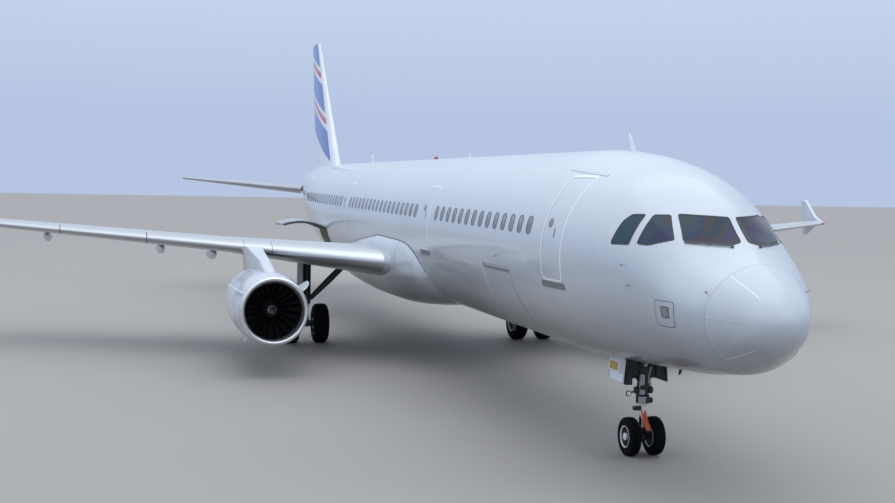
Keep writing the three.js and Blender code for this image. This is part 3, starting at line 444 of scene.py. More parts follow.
def plate(outline, on, top, under=-0.006, rings=3):
    """A thin plate that follows a surface within an outline."""
    middle = outline.mean(axis=0)
    loops = [middle + (outline - middle) * (k + 0.001) / rings for k in range(rings + 1)]
    return through([lifted(on(loop), top) for loop in loops]
                   + [lifted(on(loop), under) for loop in reversed(loops)])


def band(outer, inner, on, top, under=-0.006):
    """A thin flat ring that follows a surface between two outlines."""
    loops = [(inner, top), (outer, top), (outer, under), (inner, under)]
    return through([lifted(on(loop), by) for loop, by in loops], closed=True)


# Flight deck windows. Six flat laminated panes sit in the nose in dark sealant, with silver-painted posts
# between them. A gold heating film lies inside the glass, and the oily purple and blue tints on the windscreens are
# painted reflections.
WINDSCREEN = [(0.06, 4.295), (0.235, 4.25), (0.88, 4.283), (0.757, 4.728), (0.055, 4.694)]
SLIDING_WINDOW = [(1.985, 4.3), (2.35, 4.186), (2.585, 4.2), (2.662, 4.7), (2.4, 4.706)]
REAR_WINDOW = [(2.728, 4.176), (3.135, 4.168), (3.157, 4.224), (3.125, 4.571), (3.036, 4.694), (2.787, 4.702)]
PANE_CORNER, SEALANT = 0.045, 0.022
# Painted reflection: swirled purple, blue and brown tints over the windscreen glass.
PAINTED_REFLECTION_TINTS = [(0.3, (0.014, 0.035, 0.06)), (0.42, (0.045, 0.042, 0.035)), (0.5, (0.028, 0.026, 0.085)),
         (0.58, (0.016, 0.045, 0.085)), (0.7, (0.05, 0.046, 0.038))]
UNTINTED = dict(start=2.2, end=2.8, colour=(0.02, 0.05, 0.085, 1))


def nose_front(side):
    """The skin of the nose as seen from ahead: (distance from the centre line, height) to a point."""
    def on(flat):
        sideways, z = np.moveaxis(np.asarray(flat, float), -1, 0)
        y = side * sideways
        near, far = np.full(y.shape, 0.001), np.full(y.shape, 6.0)
        for _ in range(34):
            half_way = (near + far) / 2
            out = off_hull(np.stack([half_way, y, z], axis=-1)) > 0
            near, far = np.where(out, half_way, near), np.where(out, far, half_way)
        return np.stack([far, y, z], axis=-1)
    return on


def glass_with_painted_reflections():
    """Dark glass with painted reflections in many colours on the windscreens, and plainer towards the rear window."""
    glass = surface("glass_painted_reflections", (0.02, 0.025, 0.035), 0.05, mottle=0.2, mottle_size=5, shine=0.27)
    swirl = added(glass, "TexNoise", {"Vector": own_place(glass), "Scale": 2.6, "Detail": 1, "Distortion": 1.2})
    feed(glass, glass.node_tree.nodes["Principled BSDF"],
         {"Base Color": ramp(glass, swirl.outputs["Fac"], PAINTED_REFLECTION_TINTS)})
    to_rear = added(glass, "MapRange", {"Value": own_axes(glass)["X"],
                                        "From Min": NOSE_X - MODEL * UNTINTED["start"],
                                        "From Max": NOSE_X - MODEL * UNTINTED["end"]})
    return laid_over(glass, UNTINTED["colour"], to_rear.outputs["Result"])


sealant = surface("window_sealant", (0.035, 0.037, 0.04), 0.55, mottle=0.1, mottle_size=20)
panes = []
for side in (-1, 1):
    for corners, on in ((WINDSCREEN, nose_front(side)), (SLIDING_WINDOW, hull_side(side)),
                        (REAR_WINDOW, hull_side(side))):
        seal_line = rounded(corners, PANE_CORNER)
        glass_line = inset(seal_line, SEALANT)
        panes += [of(band(seal_line, glass_line, on, 0.006, -0.03), 1),
                  plate(glass_line, on, 0.003, -0.03, rings=6)]
piece("flight_deck_panes", panes, [glass_with_painted_reflections(), sealant], "airframe", "glazing", "flight_deck_glazing")

# Nose gear bay and cargo holds. On the real aircraft the bay has stiffened walls and a green primer finish, and the
# hold is lined with pale panels; here each is a plain box cut into the skin in a green primer finish, and the open
# rear cargo door shows its hold.
BAY = dict(front=4.33, back=6.08, half=0.4, roof=2.62)
CARGO = dict(low=1.99, high=3.42, length=1.79, edge=0.013, inboard=0.3)
CARGO_FRONTS = dict(fwd=7.55, aft=28.9)


def block(aft, y, z):
    """A box between pairs of limits."""
    return through([[(a, y[0], z[0]), (a, y[1], z[0]), (a, y[1], z[1]), (a, y[0], z[1])] for a in aft])


def hollow(thing, aft, y, z):
    carved(thing, build("hollow", [block(aft, y, z)], [lining]))


hollow(nose, (BAY["front"], BAY["back"]), (-BAY["half"], BAY["half"]), (1, BAY["roof"]))
for hold, front in CARGO_FRONTS.items():
    hollow(nose if hold == "fwd" else tail,
           (front - CARGO["edge"], front + CARGO["length"] + CARGO["edge"]),
           (-3, -CARGO["inboard"]), (CARGO["low"] - CARGO["edge"], CARGO["high"] + CARGO["edge"]))
fit(nose, "airframe", "silver_paint", "nose_section")
fit(tail, "airframe", "silver_paint", "rear_fuselage")

# Cargo doors. Each is a curved skin panel over a deep frame, hung from a piano hinge along its top edge.
# The rear one is parked open, at the lower limit of its joint.
DOOR_THICK, DOOR_RIM, RIM_WIDTH = 0.12, 0.045, 0.03
HINGE_LEAF = dict(low=3.315, sunk=0.022, strips=(3.335, 3.385))
DOOR_RIBS, DOOR_BEAMS = 6, 5
door_inside = surface("door_inside", (0.10, 0.11, 0.10), 0.55, mottle=0.2, mottle_size=12)
strip_alloy = surface("bright_strip_alloy", (0.66, 0.69, 0.74), 0.35, metal=0.6, mottle=0.06, mottle_size=9)


def cargo_door(front, pivot, opened):
    low, high = CARGO["low"], CARGO["high"]
    back = front + CARGO["length"]
    leaf, sunk = HINGE_LEAF["low"], -HINGE_LEAF["sunk"]
    on = hull_side(-1)
    outline = oblong(front, back, low, high, 0.06)
    frame_line = inset(outline, DOOR_RIM)
    shells = [
        plate(oblong(front, back, low, leaf, [0.06, 0.06, 0.002, 0.002]), on, 0, -0.03, rings=10),
        plate(oblong(front, back, leaf, high, [0.002, 0.002, 0.05, 0.05]), on, sunk, sunk - 0.02, rings=4),
        band(outline, inset(outline, RIM_WIDTH), on, sunk - 0.002, -DOOR_RIM),
    ]
    for height in HINGE_LEAF["strips"]:
        line = oblong(front + 0.01, back - 0.01, height - 0.012, height + 0.012, 0.004)
        shells.append(of(plate(line, on, sunk + 0.004, sunk - 0.004, rings=2), 2))
    shells.append(of(band(frame_line, inset(frame_line, RIM_WIDTH), on, -0.02, -DOOR_THICK), 1))
    for rib in np.linspace(front + 0.1, back - 0.1, DOOR_RIBS):
        line = oblong(rib - 0.02, rib + 0.02, low + 0.06, high - 0.08, 0.001)
        shells.append(of(plate(line, on, -0.018, -DOOR_THICK + 0.01), 1))
    for height in np.linspace(low + 0.08, high - 0.1, DOOR_BEAMS):
        line = oblong(front + 0.06, back - 0.06, height - 0.02, height + 0.02, 0.001)
        shells.append(of(plate(line, on, -0.018, -DOOR_THICK + 0.02), 1))
    turn = Matrix.Translation(pivot) @ Matrix.Rotation(-radians(opened), 4, "X") @ Matrix.Translation(-pivot)
    return [(np.array([turn @ Vector(point) for point in points]), faces, *number)
            for points, faces, *number in shells]


joints = {joint["name"]: joint for joint in frame["joints"]}
for hold, front in CARGO_FRONTS.items():
    node = "cargo_door_" + hold
    joint = joints[node + "_hinge"]
    piece(node + "_panel", cargo_door(front, Vector(joint["pos_m"]), -min(joint["range_deg"])),
          [silver, door_inside, strip_alloy], node, "silver_paint", node)

# Passenger doors, four a side. Each is a plug panel with a white painted outline, a small round window and a
# flush handle. The two front ones have a grey scuff plate on the sill.
DOORS = [
    # front edge, back edge, bottom, top
    (4.75, 5.66, 3.36, 5.36),
    (13.98, 14.78, 3.42, 5.08),
    (24.96, 25.76, 3.42, 5.12),
    (35.1, 35.95, 3.5, 5.3),
]
SCUFFED = DOORS[:2]
OUTLINE = 0.045
EYE_GLASS = dict(across=0.7, up=1.09, outer=0.09, inner=0.068, pane=0.07)
GRIP = dict(front=0.37, back=0.405, low=0.82, high=1.0)
white_paint = surface("white_stencil_paint", (0.85, 0.87, 0.9), 0.35, coat=0.3, mottle=0.02)
scuff_metal = surface("scuff_plate", (0.28, 0.29, 0.31), 0.4, metal=0.7, mottle=0.12, mottle_size=14, grain=0.1)
cabin_glass = surface("cabin_window_glass", (0.13, 0.145, 0.17), 0.12, coat=0.4, mottle=0.25, mottle_size=11)
# Painted reflection: the top of each cabin window pane is tinted a lighter blue-grey for the sky that it reflects.
cabin_glass = dirt_and_painted_light(cabin_glass, 2.16, 2.27, (0.27, 0.30, 0.36), 0.75)


def disc(aft, z, radius, count=24):
    angle = np.linspace(0, 2 * pi, count, endpoint=False)
    return np.stack([aft + radius * np.cos(angle), z + radius * np.sin(angle)], axis=1)


marks = []
for side in (-1, 1):
    on = hull_side(side)
    for door in DOORS:
        front, back, bottom, top = door
        edge = oblong(front, back, bottom, top, [0.16, 0.16, 0.1, 0.1], 8)
        gap = inset(edge, OUTLINE)
        marks += [band(edge, gap, on, 0.004), of(band(gap, inset(gap, 0.006), on, 0.002), 1)]
        if door in SCUFFED:
            sill = oblong(front - 0.05, back + 0.05, bottom - 0.13, bottom - 0.01, 0.04)
            marks.append(of(plate(sill, on, 0.012, rings=4), 1))
        eye = front + EYE_GLASS["across"] * (back - front), bottom + EYE_GLASS["up"]
        grip = oblong(front + GRIP["front"], front + GRIP["back"], bottom + GRIP["low"], bottom + GRIP["high"],
                      0.015)
        marks += [of(band(disc(*eye, EYE_GLASS["outer"]), disc(*eye, EYE_GLASS["inner"]), on, 0.006), 1),
                  of(plate(disc(*eye, EYE_GLASS["pane"]), on, 0.003, rings=2), 2),
                  of(plate(grip, on, 0.006, rings=2), 1)]
piece("passenger_door_outlines", marks, [white_paint, scuff_metal, cabin_glass], "airframe", "silver_paint")

# Cabin windows: one between every pair of frames. Each stretched acrylic pane sits in a thin dark surround,
# which is painted shade for the recess round the pane, and there is none where a door is.
WINDOW = dict(first=6.4, last=34.4, pitch=0.533, z=4.37, rise=0.0045, wide=0.22, tall=0.32, rim=0.02)
CLEAR_OF_DOOR = 0.2
surround_painted_shade = surface("window_surround_painted_shade", (0.13, 0.14, 0.16), 0.4, metal=0.3, coat=0.2, mottle=0.05)
windows = []
for aft in np.arange(WINDOW["first"], WINDOW["last"], WINDOW["pitch"]):
    if any(front - CLEAR_OF_DOOR < aft < back + CLEAR_OF_DOOR for front, back, *_ in DOORS):
        continue
    half_wide, half_tall = WINDOW["wide"] / 2, WINDOW["tall"] / 2
    height = WINDOW["z"] + WINDOW["rise"] * (aft - WINDOW["first"])
    pane = oblong(aft - half_wide, aft + half_wide, height - half_tall, height + half_tall, 0.1, 4)
    for side in (-1, 1):
        on = hull_side(side)
        windows += [of(band(inset(pane, -WINDOW["rim"]), pane, on, 0.007), 1),
                    plate(inset(pane, -0.002), on, 0.002, rings=2)]
piece("cabin_windows", windows, [cabin_glass, surround_painted_shade], "airframe", "glazing")

# Belly fairing. A light composite shell over the wing's centre box and the wheel bays, blended into the belly and
# painted like it.
FAIRING = np.array([
    # aft, top, bottom, half width
    [15.15, 2.8, 2.6, 1.58],
    [15.225, 3.07, 2.3, 1.735],
    [15.37, 3.34, 2.1, 1.88],
    [15.6, 3.61, 1.93, 1.955],
    [15.86, 3.77, 1.84, 2.0],
    [16.25, 3.87, 1.77, 2.06],
    [17.0, 3.91, 1.69, 2.115],
    [18.3, 3.9, 1.55, 2.175],
    [19.6, 3.92, 1.465, 2.195],
    [21.2, 3.75, 1.455, 2.195],
    [22.5, 3.58, 1.49, 2.175],
    [23.9, 3.4, 1.56, 2.12],
    [25.6, 3.17, 1.66, 1.95],
    [27.0, 2.95, 1.84, 1.5],
])
SHOULDER, KEEL = 0.62, 0.91
FAIRING_POINTS = np.linspace(0, 2 * pi, 128, endpoint=False)

fairing_curve = flowing(FAIRING[:, 0], FAIRING[:, 1:])


def fairing_ring(aft, angle=FAIRING_POINTS, grow=0.0):
    """The fairing's section at a station, grown by a little, as points."""
    top, bottom, half = fairing_curve(aft)
    roundness = np.where(np.sin(angle) > 0, SHOULDER, KEEL)
    y, z = (np.sign(way) * np.abs(way) ** roundness for way in (np.cos(angle), np.sin(angle)))
    return np.stack(np.broadcast_arrays(aft, y * (half + grow), (top + bottom) / 2
                                        + z * ((top - bottom) / 2 + grow)), axis=-1)


stations = FAIRING[0, 0] + np.linspace(0, 1, 100) ** 1.5 * (FAIRING[-1, 0] - FAIRING[0, 0])
# Painted shade: the fairing is tinted darker and warmer towards its bottom, with some real dirt.
fairing_silver = dirt_and_painted_light(surface("fairing_silver_paint", SILVER, 0.32, metal=0.2, coat=0.4, mottle=0.05),
                       1.7, 0.8, BELLY_SHADE_AND_DIRT, 0.6)
piece("belly_fairing_shell", [through([fairing_ring(aft) for aft in stations])], [fairing_silver],
      "airframe", "silver_paint", "belly_fairing", sharp=50)

# Wings. Each is a swept, tapered aluminium box with a polished slat along the front, flaps and an aileron along
# the back, and spoiler panels let into the upper skin. The skins are painted a flat light grey.
WING = np.array([
    # y, chord, height of the leading edge, thickness, incidence in degrees
    [1.2, 6.46, 2.79, 0.15, 3.6],
    [1.975, 6.07, 2.85, 0.15, 3.4],
    [6.4, 3.84, 3.19, 0.118, 2.2],
    [16.92, 1.48, 3.9, 0.108, 0.6],
])
WING_ROOT, WING_KINK, WING_TIP = WING[1:, 0]
WING_APEX, WING_SWEEP, CAMBER, TRAILING_EDGE = 16.2, 0.5206, 0.014, 0.0022
SLAT_BACK, BOX_BACK, BOX_END = 0.14, 0.74, 0.739
SLATS = [(2.3, 5.27), (6.05, 8.75), (8.77, 11.25), (11.27, 13.75), (13.77, 16.3)]
PYLON_EDGE = (5.28, 6.04)
FLAPS = dict(inner=(2.5, 6.37), outer=(6.43, 12.6))
PANEL_GAP, RUN_GAP = 0.004, 0.013
AILERON = dict(inner=12.9, outer=16.1, part=0.75)
SPOILER = dict(inner=6.9, outer=12.1, front=0.56, back=0.725, thick=0.034, panels=4, gap=0.008)
SPOILER_BAY = (0.554, 0.73, 0.05)
SIDES = ((1, "left"), (-1, "right"))


def half_thick(part, thickness):
    return (5 * thickness * (0.2969 * np.sqrt(part) - 0.126 * part - 0.3516 * part ** 2 + 0.2843 * part ** 3
                             - 0.1036 * part ** 4) + TRAILING_EDGE * part)


def row_point(row, part, face, sunk=0.0):
    """A point at a part of the chord: face is 1 on the upper skin, -1 on the lower, 0 between them."""
    y, chord, z, thickness, incidence = row
    tilt = radians(incidence)
    along = part * chord
    up = (4 * CAMBER * part * (1 - part) + face * half_thick(part, thickness)) * chord - sunk
    return np.array([WING_APEX + WING_SWEEP * y + along * cos(tilt) + up * sin(tilt), y,
                     z - along * sin(tilt) + up * cos(tilt)])


def wing_rule(part, face, sunk=0.0, outer=True):
    """The straight line that the skin follows spanwise at a part of the chord, as two points."""
    low, high = (WING[2], WING[3]) if outer else (WING[1], WING[2])
    return row_point(low, part, face, sunk), row_point(high, part, face, sunk)


def where_cut(rule, plane):
    """Where a spanwise line meets a plane, given as (point, normal)."""
    start, end = rule
    point, normal = plane
    way = end - start
    return start + way * np.dot(point - start, normal) / np.dot(way, normal)


def at_y(y):
    return np.array([0, y, 0.0]), np.array([0, 1.0, 0])


def wing_outline(front, back, notch=None, count=26):
    """The section's outline as (part, face, sunk), from the front over the upper skin and back below."""
    spread = np.linspace(front, back, count)
    if front == 0:
        spread = back * (1 - np.cos(np.linspace(0, pi / 2, count)))
    upper = [(part, 1, 0.0) for part in spread]
    if notch:
        start, end, depth = notch
        corners = [(start, 1, 0.0), (start + 0.0005, 1, depth), ((start + end) / 2, 1, depth),
                   (end - 0.0005, 1, depth), (end, 1, 0.0)]
        upper = sorted([mark for mark in upper if not start <= mark[0] <= end] + corners)
    lower = [(part, -1, 0.0) for part in spread[::-1]]
    return upper + (lower[:-1] if front == 0 else lower)


def mirrored(rows, side):
    """Rows of points to port, or their mirror image to starboard."""
    return [np.asarray(row) * np.array([1, side, 1]) for row in rows]


def wing_shell(side, outline, start, end, outer=True):
    """A closed piece of the wing between two planes, from an outline of (part, face, sunk)."""
    rules = [wing_rule(*mark, outer) for mark in outline]
    near, far = (np.array([where_cut(rule, plane) for rule in rules]) for plane in (start, end))
    return through(mirrored([near, (near + far) / 2, far], side))


def hinge_line(row, part, sunk_below_top=None, ahead=0.0):
    """Two ends of a hinge line, on the camber line or a little below the upper skin."""
    rule = wing_rule(part, 0) if sunk_below_top is None else wing_rule(part, 1, sunk_below_top)
    return [where_cut(rule, at_y(row[end])) + ahead * AFT for end in ("inner", "outer")]


def line_way(line):
    """The length of a hinge line and its direction."""
    length = np.linalg.norm(line[1] - line[0])
    return length, (line[1] - line[0]) / length


def square_ends(line):
    """The planes across a hinge line, just beyond each end."""
    way = line_way(line)[1]
    return (line[0] - way * RUN_GAP, way), (line[1] + way * RUN_GAP, way)


AFT = np.array([1.0, 0, 0])
aileron_line = hinge_line(AILERON, AILERON["part"])
spoiler_line = hinge_line(SPOILER, SPOILER["front"], SPOILER["thick"] / 2, 0.02)


def ring_shell(side, line, radii, span, front_angles, tail_rules):
    """A piece whose front is round about a hinge line and whose back follows spanwise lines."""
    way = line_way(line)[1]
    back = AFT - way[0] * way
    back /= np.linalg.norm(back)
    over = np.cross(way, back)
    over *= np.sign(over[2])
    rows = []
    for t in (0, 0.5, 1):
        centre = line[0] + way * (span[0] + (span[1] - span[0]) * t)
        radius = radii[0] + (radii[1] - radii[0]) * t
        rows.append([centre + radius * (-back * cos(turn) + over * sin(turn)) for turn in front_angles]
                    + [where_cut(rule, (centre, way)) for rule in tail_rules])
    return through(mirrored(rows, side))


def both_faces(parts, rule):
    """The spanwise lines over the upper skin and back along the lower one."""
    return [rule(part, 1) for part in parts] + [rule(part, -1) for part in parts[::-1]]


wing_grey = panelled(surface("wing_grey_paint", (0.44, 0.47, 0.52), 0.42, metal=0.1, coat=0.1, mottle=0.06,
                             mottle_size=1.1, stretch=(1, 0.4, 1), grain=0.05, grain_size=700,
                             worn=(0.33, 0.35, 0.38), worn_from=0.66), 0.9, 0.5, depth=0.2)
bare_alloy = surface("polished_slat_alloy", (0.56, 0.575, 0.60), 0.33, metal=1.0, mottle=0.03, mottle_size=5,
                     stretch=(1, 0.3, 1), grain=0.04, grain_size=700, worn=(0.47, 0.485, 0.5), worn_from=0.68)
flap_grey = surface("flap_grey_paint", (0.36, 0.385, 0.43), 0.45, metal=0.1, mottle=0.07, mottle_size=4,
                    worn=(0.25, 0.26, 0.28), worn_from=0.66)
joint_dark = surface("joint_shadow", (0.05, 0.052, 0.058), 0.7, mottle=0.1, mottle_size=20)

box, whole, rear = wing_outline(SLAT_BACK, BOX_END), wing_outline(0, 1), wing_outline(BOX_BACK, 1)
root, kink, tip_end = at_y(WING_ROOT), at_y(WING_KINK), at_y(WING_TIP)
box_start = at_y(SLATS[0][0] - PANEL_GAP)
notch_in, notch_out = square_ends(spoiler_line)
bay_in, bay_out = square_ends(aileron_line)
INNER_BLOCKS = [
    # outline, inner plane, outer plane
    (whole, at_y(WING[0, 0]), root),
    (wing_outline(0, BOX_END), root, box_start),
    (rear, root, at_y(FLAPS["inner"][0] - PANEL_GAP)),
    (box, box_start, kink),
    (rear, at_y(FLAPS["inner"][1] + PANEL_GAP), kink),
]
OUTER_BLOCKS = [
    (rear, kink, at_y(FLAPS["outer"][0] - PANEL_GAP)),
    (box, kink, notch_in),
    (wing_outline(SLAT_BACK, BOX_END, notch=SPOILER_BAY), notch_in, notch_out),
    (box, notch_out, bay_in),
    (rear, at_y(FLAPS["outer"][1] + PANEL_GAP), bay_in),
    (wing_outline(SLAT_BACK, 1), bay_out, tip_end),
    (wing_outline(0, SLAT_BACK), at_y(SLATS[-1][1] + PANEL_GAP), tip_end),
]
aileron_length, aileron_way = line_way(aileron_line)
aileron_radii = [np.linalg.norm(where_cut(wing_rule(AILERON["part"], 1), (end, aileron_way)) - end)
                 for end in aileron_line]
cove_parts = np.linspace(SLAT_BACK, AILERON["part"] - 0.006, 20)
aileron_parts = np.linspace(AILERON["part"] + 0.001, 1, 14)
spoiler_length, spoiler_way = line_way(spoiler_line)
spoiler_parts = np.linspace(SPOILER["front"], SPOILER["back"], 9)
board = [(part, 1, 0.0) for part in spoiler_parts] + [(part, 1, SPOILER["thick"]) for part in spoiler_parts[::-1]]
board_pitch = spoiler_length / SPOILER["panels"]
for side, name in SIDES:
    cove = ring_shell(side, aileron_line, [radius + RUN_GAP for radius in aileron_radii],
                      (-RUN_GAP, aileron_length + RUN_GAP), np.linspace(pi / 2, -pi / 2, 15),
                      [wing_rule(part, -1) for part in cove_parts[::-1]] + [wing_rule(part, 1) for part in cove_parts])
    slat_over_engine = wing_shell(side, wing_outline(0, SLAT_BACK), *map(at_y, PYLON_EDGE), outer=False)
    piece("wing_" + name + "_skins", [
        *(wing_shell(side, *row, outer=False) for row in INNER_BLOCKS),
        *(wing_shell(side, *row) for row in OUTER_BLOCKS), cove, of(slat_over_engine, 1),
    ], [wing_grey, bare_alloy], "airframe", "silver_paint", "wing_" + name)
    slat = wing_outline(0, SLAT_BACK - 0.0015)
    slats = []
    for inner, outer in SLATS:
        if inner < WING_KINK:
            slats.append(wing_shell(side, slat, at_y(inner), at_y(min(outer, WING_KINK)), outer=False))
        if outer > WING_KINK:
            slats.append(wing_shell(side, slat, at_y(max(inner, WING_KINK)), at_y(outer)))
    piece("slats_" + name + "_row", slats, [bare_alloy], "airframe", "bare_alloy", "slats_" + name)
    for which, (inner, outer) in FLAPS.items():
        flap = wing_shell(side, wing_outline(BOX_BACK + 0.0008, 1), at_y(inner), at_y(outer), outer=inner > WING_KINK)
        node = "flap_" + which + "_" + name
        piece(node + "_panel", [flap], [flap_grey], "airframe", "grey_paint", node)
    aileron = ring_shell(side, aileron_line, aileron_radii, (0, aileron_length),
                         np.linspace(-pi / 2, pi / 2, 15)[1:-1], both_faces(aileron_parts, wing_rule))
    piece("aileron_" + name + "_panel", [aileron], [wing_grey], "aileron_" + name, "silver_paint", "aileron_" + name)
    boards = []
    for k in range(SPOILER["panels"]):
        start, end = k * board_pitch + SPOILER["gap"] / 2, (k + 1) * board_pitch - SPOILER["gap"] / 2
        boards.append(wing_shell(side, board, (spoiler_line[0] + start * spoiler_way, spoiler_way),
                                 (spoiler_line[0] + end * spoiler_way, spoiler_way)))
    piece("spoilers_" + name + "_boards", boards, [flap_grey], "spoilers_" + name, "grey_paint", "spoilers_" + name)

# Canoe fairings. Slim composite pods under each wing cover the flap tracks.
# Each hangs a little nose up, so that its tail clears the flap.
CANOE = np.array([
    # part of the length, half width, half height
    [0, 0.014, 0.014],
    [0.12, 0.08, 0.09],
    [0.4, 0.13, 0.17],
    [0.75, 0.115, 0.14],
    [1, 0.016, 0.018],
])
CANOES = [
    # y, start as a part of the chord, length, how far below the chord line
    (6.7, 0.46, 2.7, 0.3),
    (8.25, 0.44, 2.5, 0.28),
    (11.7, 0.42, 2.15, 0.23),
]
DROOP = 0.06

canoe_curve = flowing(CANOE[:, 0], CANOE[:, 1:])
angle = np.linspace(0, 2 * pi, 28, endpoint=False)
for side, name in SIDES:
    pods = []
    for y, part, length, below in CANOES:
        start = where_cut(wing_rule(part, 0, below + 12 * CAMBER * part * (1 - part)), at_y(y))
        loops = []
        for t in np.linspace(0, 1, 30):
            half, tall = canoe_curve(t)
            loops.append(place(start[0] + t * length, side * (y + half * np.cos(angle)),
                               start[2] - DROOP * t * length + tall * np.sin(angle)))
        pods.append(skin(loops))
    piece("flap_track_pods_" + name, pods, [plain_silver], "airframe", "silver_paint")

# Wing-tip fences. A thin arrow-shaped plate stands above and below each tip.
# Its edges are rounded, and it is painted like the fuselage.
FENCE = np.array([(0.06, 0), (0.7, 0.26), (1.4, 0.9), (1.72, 0.9), (1.64, 0.26), (1.56, -0.06),
                  (1.56, -0.48), (1.33, -0.48), (0.76, -0.12)])
FENCE_THICK, FENCE_EDGE, FENCE_Z = 0.129, 0.03, 3.89

outline = rounded(FENCE, 0.05, 4, step=0.3)
for side, name in SIDES:
    loops = []
    for t in (0.001, 0.1, 0.5, 0.9, 0.999):
        edge = inset(outline, FENCE_EDGE * (2 * t - 1) ** 2)
        loops.append(place(WING_APEX + WING_SWEEP * WING_TIP + edge[:, 0],
                           side * (WING_TIP + 0.001 + t * FENCE_THICK), FENCE_Z + edge[:, 1]))
    piece("wing_fence_" + name, [skin(loops)], [plain_silver], "airframe", "silver_paint",
          "wingtip_fence_" + name, sharp=50)

# Engine nacelles. A polished alloy lip leads into a painted composite cowl, which opens in two halves along the
# keel, with a strake each side. The rear of the duct is bare heat-stained metal.
ENGINE = dict(lip=14.85, y=5.75, z=1.75, wing_edge=19.2)
ENGINES = [(side, name, np.array([ENGINE["lip"], side * ENGINE["y"], ENGINE["z"]])) for side, name in SIDES]
LIP = [(0.24, 0.895), (0.16, 0.894), (0.09, 0.888), (0.04, 0.873), (0.012, 0.853), (0, 0.832), (0.006, 0.811),
       (0.024, 0.79), (0.055, 0.771), (0.1, 0.757), (0.15, 0.747), (0.2, 0.742), (0.24, 0.741)]
LIP_DEPTH, LIP_RAISED = 0.24, 0.035
COWL_OUTER = np.array([(0.242, 0.895), (0.6, 0.94), (1.15, 0.97), (2, 0.975), (2.95, 0.945), (4, 0.86),
                       (5.08, 0.68)])
COWL_INNER = [(5.09, 0.655), (4, 0.8), (2.4, 0.88), (1, 0.88), (0.82, 0.845), (0.242, 0.758)]
LINER = [(0.25, 0.757), (0.82, 0.843), (0.99, 0.878), (0.99, 0.87), (0.82, 0.837), (0.25, 0.744)]
NOZZLE_FROM, COWL_WALL = 4.25, 0.785
COWL_SEAMS = [0.93, 2.3, 4.25]
SEAM_HALF, SEAM_DEEP = 0.004, 0.01
LATCH_LINE = dict(start=0.93, length=3.3, half=0.006, high=0.0015)
STRAKE = np.array([(0.33, 0.9), (0.45, 1.08), (0.75, 1.2), (1.15, 1.27), (1.33, 1.24), (1.42, 0.95)])
STRAKE_RISE, STRAKE_HALF = (30, 34), 0.017
MAST = dict(aft=0.95, below=52, length=0.15, chord=0.13, sweep=0.1)


def revolved(profile, start, way, count):
    """Loops of points about a line: the profile holds (distance along it, radius)."""
    start, way = np.asarray(start, float), np.asarray(way, float)
    way = way / np.linalg.norm(way)
    other = np.array([0, 0, 1.0]) if abs(way[2]) < 0.9 else AFT
    first = np.cross(way, other)
    first /= np.linalg.norm(first)
    second = np.cross(way, first)
    turn = np.linspace(0, 2 * pi, count, endpoint=False)[:, None]
    ring = np.cos(turn) * first + np.sin(turn) * second
    return [place(*(start + way * along + radius * ring).T) for along, radius in profile]


def ring_of(profile, start, way, count):
    return skin(revolved(profile, start, way, count), closed=True)


def turned(profile, start, way, count):
    return skin(revolved(profile, start, way, count))


def smoothed(profile, count):
    """More points along a profile, on a smooth curve."""
    profile = np.asarray(profile, float)
    length = np.concatenate([[0], np.cumsum(np.linalg.norm(np.diff(profile, axis=0), axis=1))])
    return flowing(length, profile)(np.linspace(0, length[-1], count))


cowl_curve = flowing(COWL_OUTER[:, 0], COWL_OUTER[:, 1:])
lip_alloy = surface("polished_lip_alloy", (0.74, 0.75, 0.77), 0.3, metal=0.9, mottle=0.04, mottle_size=6,
                    grain=0.06, grain_size=500, worn=(0.55, 0.56, 0.58), worn_from=0.7)
cowl_silver = surface("cowl_silver_paint", SILVER, 0.28, metal=0.25, coat=0.5, mottle=0.05,
                      mottle_size=1.8, stretch=(0.5, 1, 1), grain=0.04, grain_size=800,
                      worn=(0.40, 0.41, 0.44), worn_from=0.72)
duct_liner = surface("acoustic_liner", (0.15, 0.14, 0.13), 0.55, metal=0.2, mottle=0.1, mottle_size=8,
                     grain=0.5, grain_size=420)
nozzle_alloy = surface("heated_nozzle_alloy", (0.32, 0.30, 0.28), 0.35, metal=1.0, mottle=0.18, mottle_size=3,
                       stretch=(0.4, 1, 1), worn=(0.2, 0.17, 0.15), worn_from=0.6)


def cowl_radius(along):
    return float(cowl_curve(along)[0])


def cowl_marks(centre):
    """Seams round the cowl and the latch line along its keel."""
    shells = []
    for seam in COWL_SEAMS:
        radius = cowl_radius(seam)
        shells.append(ring_of([(seam - SEAM_HALF, radius + 0.001), (seam + SEAM_HALF, radius + 0.001),
                               (seam + SEAM_HALF, radius - SEAM_DEEP), (seam - SEAM_HALF, radius - SEAM_DEEP)],
                              centre, AFT, 72))
    half, high = LATCH_LINE["half"], LATCH_LINE["high"]
    latches = LATCH_LINE["start"] + LATCH_LINE["length"] * np.linspace(0, 1, 30)
    shells.append(skin([place(centre[0] + along, centre[1] + np.array([-half, half, half, -half]), centre[2]
                              - cowl_radius(along) - np.array([high, high, -SEAM_DEEP, -SEAM_DEEP]))
                        for along in latches]))
    return shells


def strake(centre, direction, rise):
    outline = rounded(STRAKE, 0.05, 4, step=0.3)
    reach = np.array([0, direction * cos(radians(rise)), sin(radians(rise))])
    flat = np.array([0, -direction * sin(radians(rise)), cos(radians(rise))])
    rows = []
    for t in (-1, -0.4, 0.4, 1):
        edge = inset(outline, 0.008 * t * t)
        rows.append(centre + edge[:, :1] * AFT + edge[:, 1:] * reach + STRAKE_HALF * t * flat)
    return through(rows)


def vane(foot, out, flat, height, chord, sweep, profile, thick, shoulder):
    """A small swept fin with a sharp front and back. Its profile holds (part of the height, part of the chord)."""
    rows = []
    for t, width in profile:
        half = chord / 2 * width
        section = [(-half, 0), (-half * shoulder, thick), (half, 0), (-half * shoulder, -thick)]
        rows.append([foot + out * height * t + AFT * (sweep * t + a) + flat * c for a, c in section])
    return through(rows)


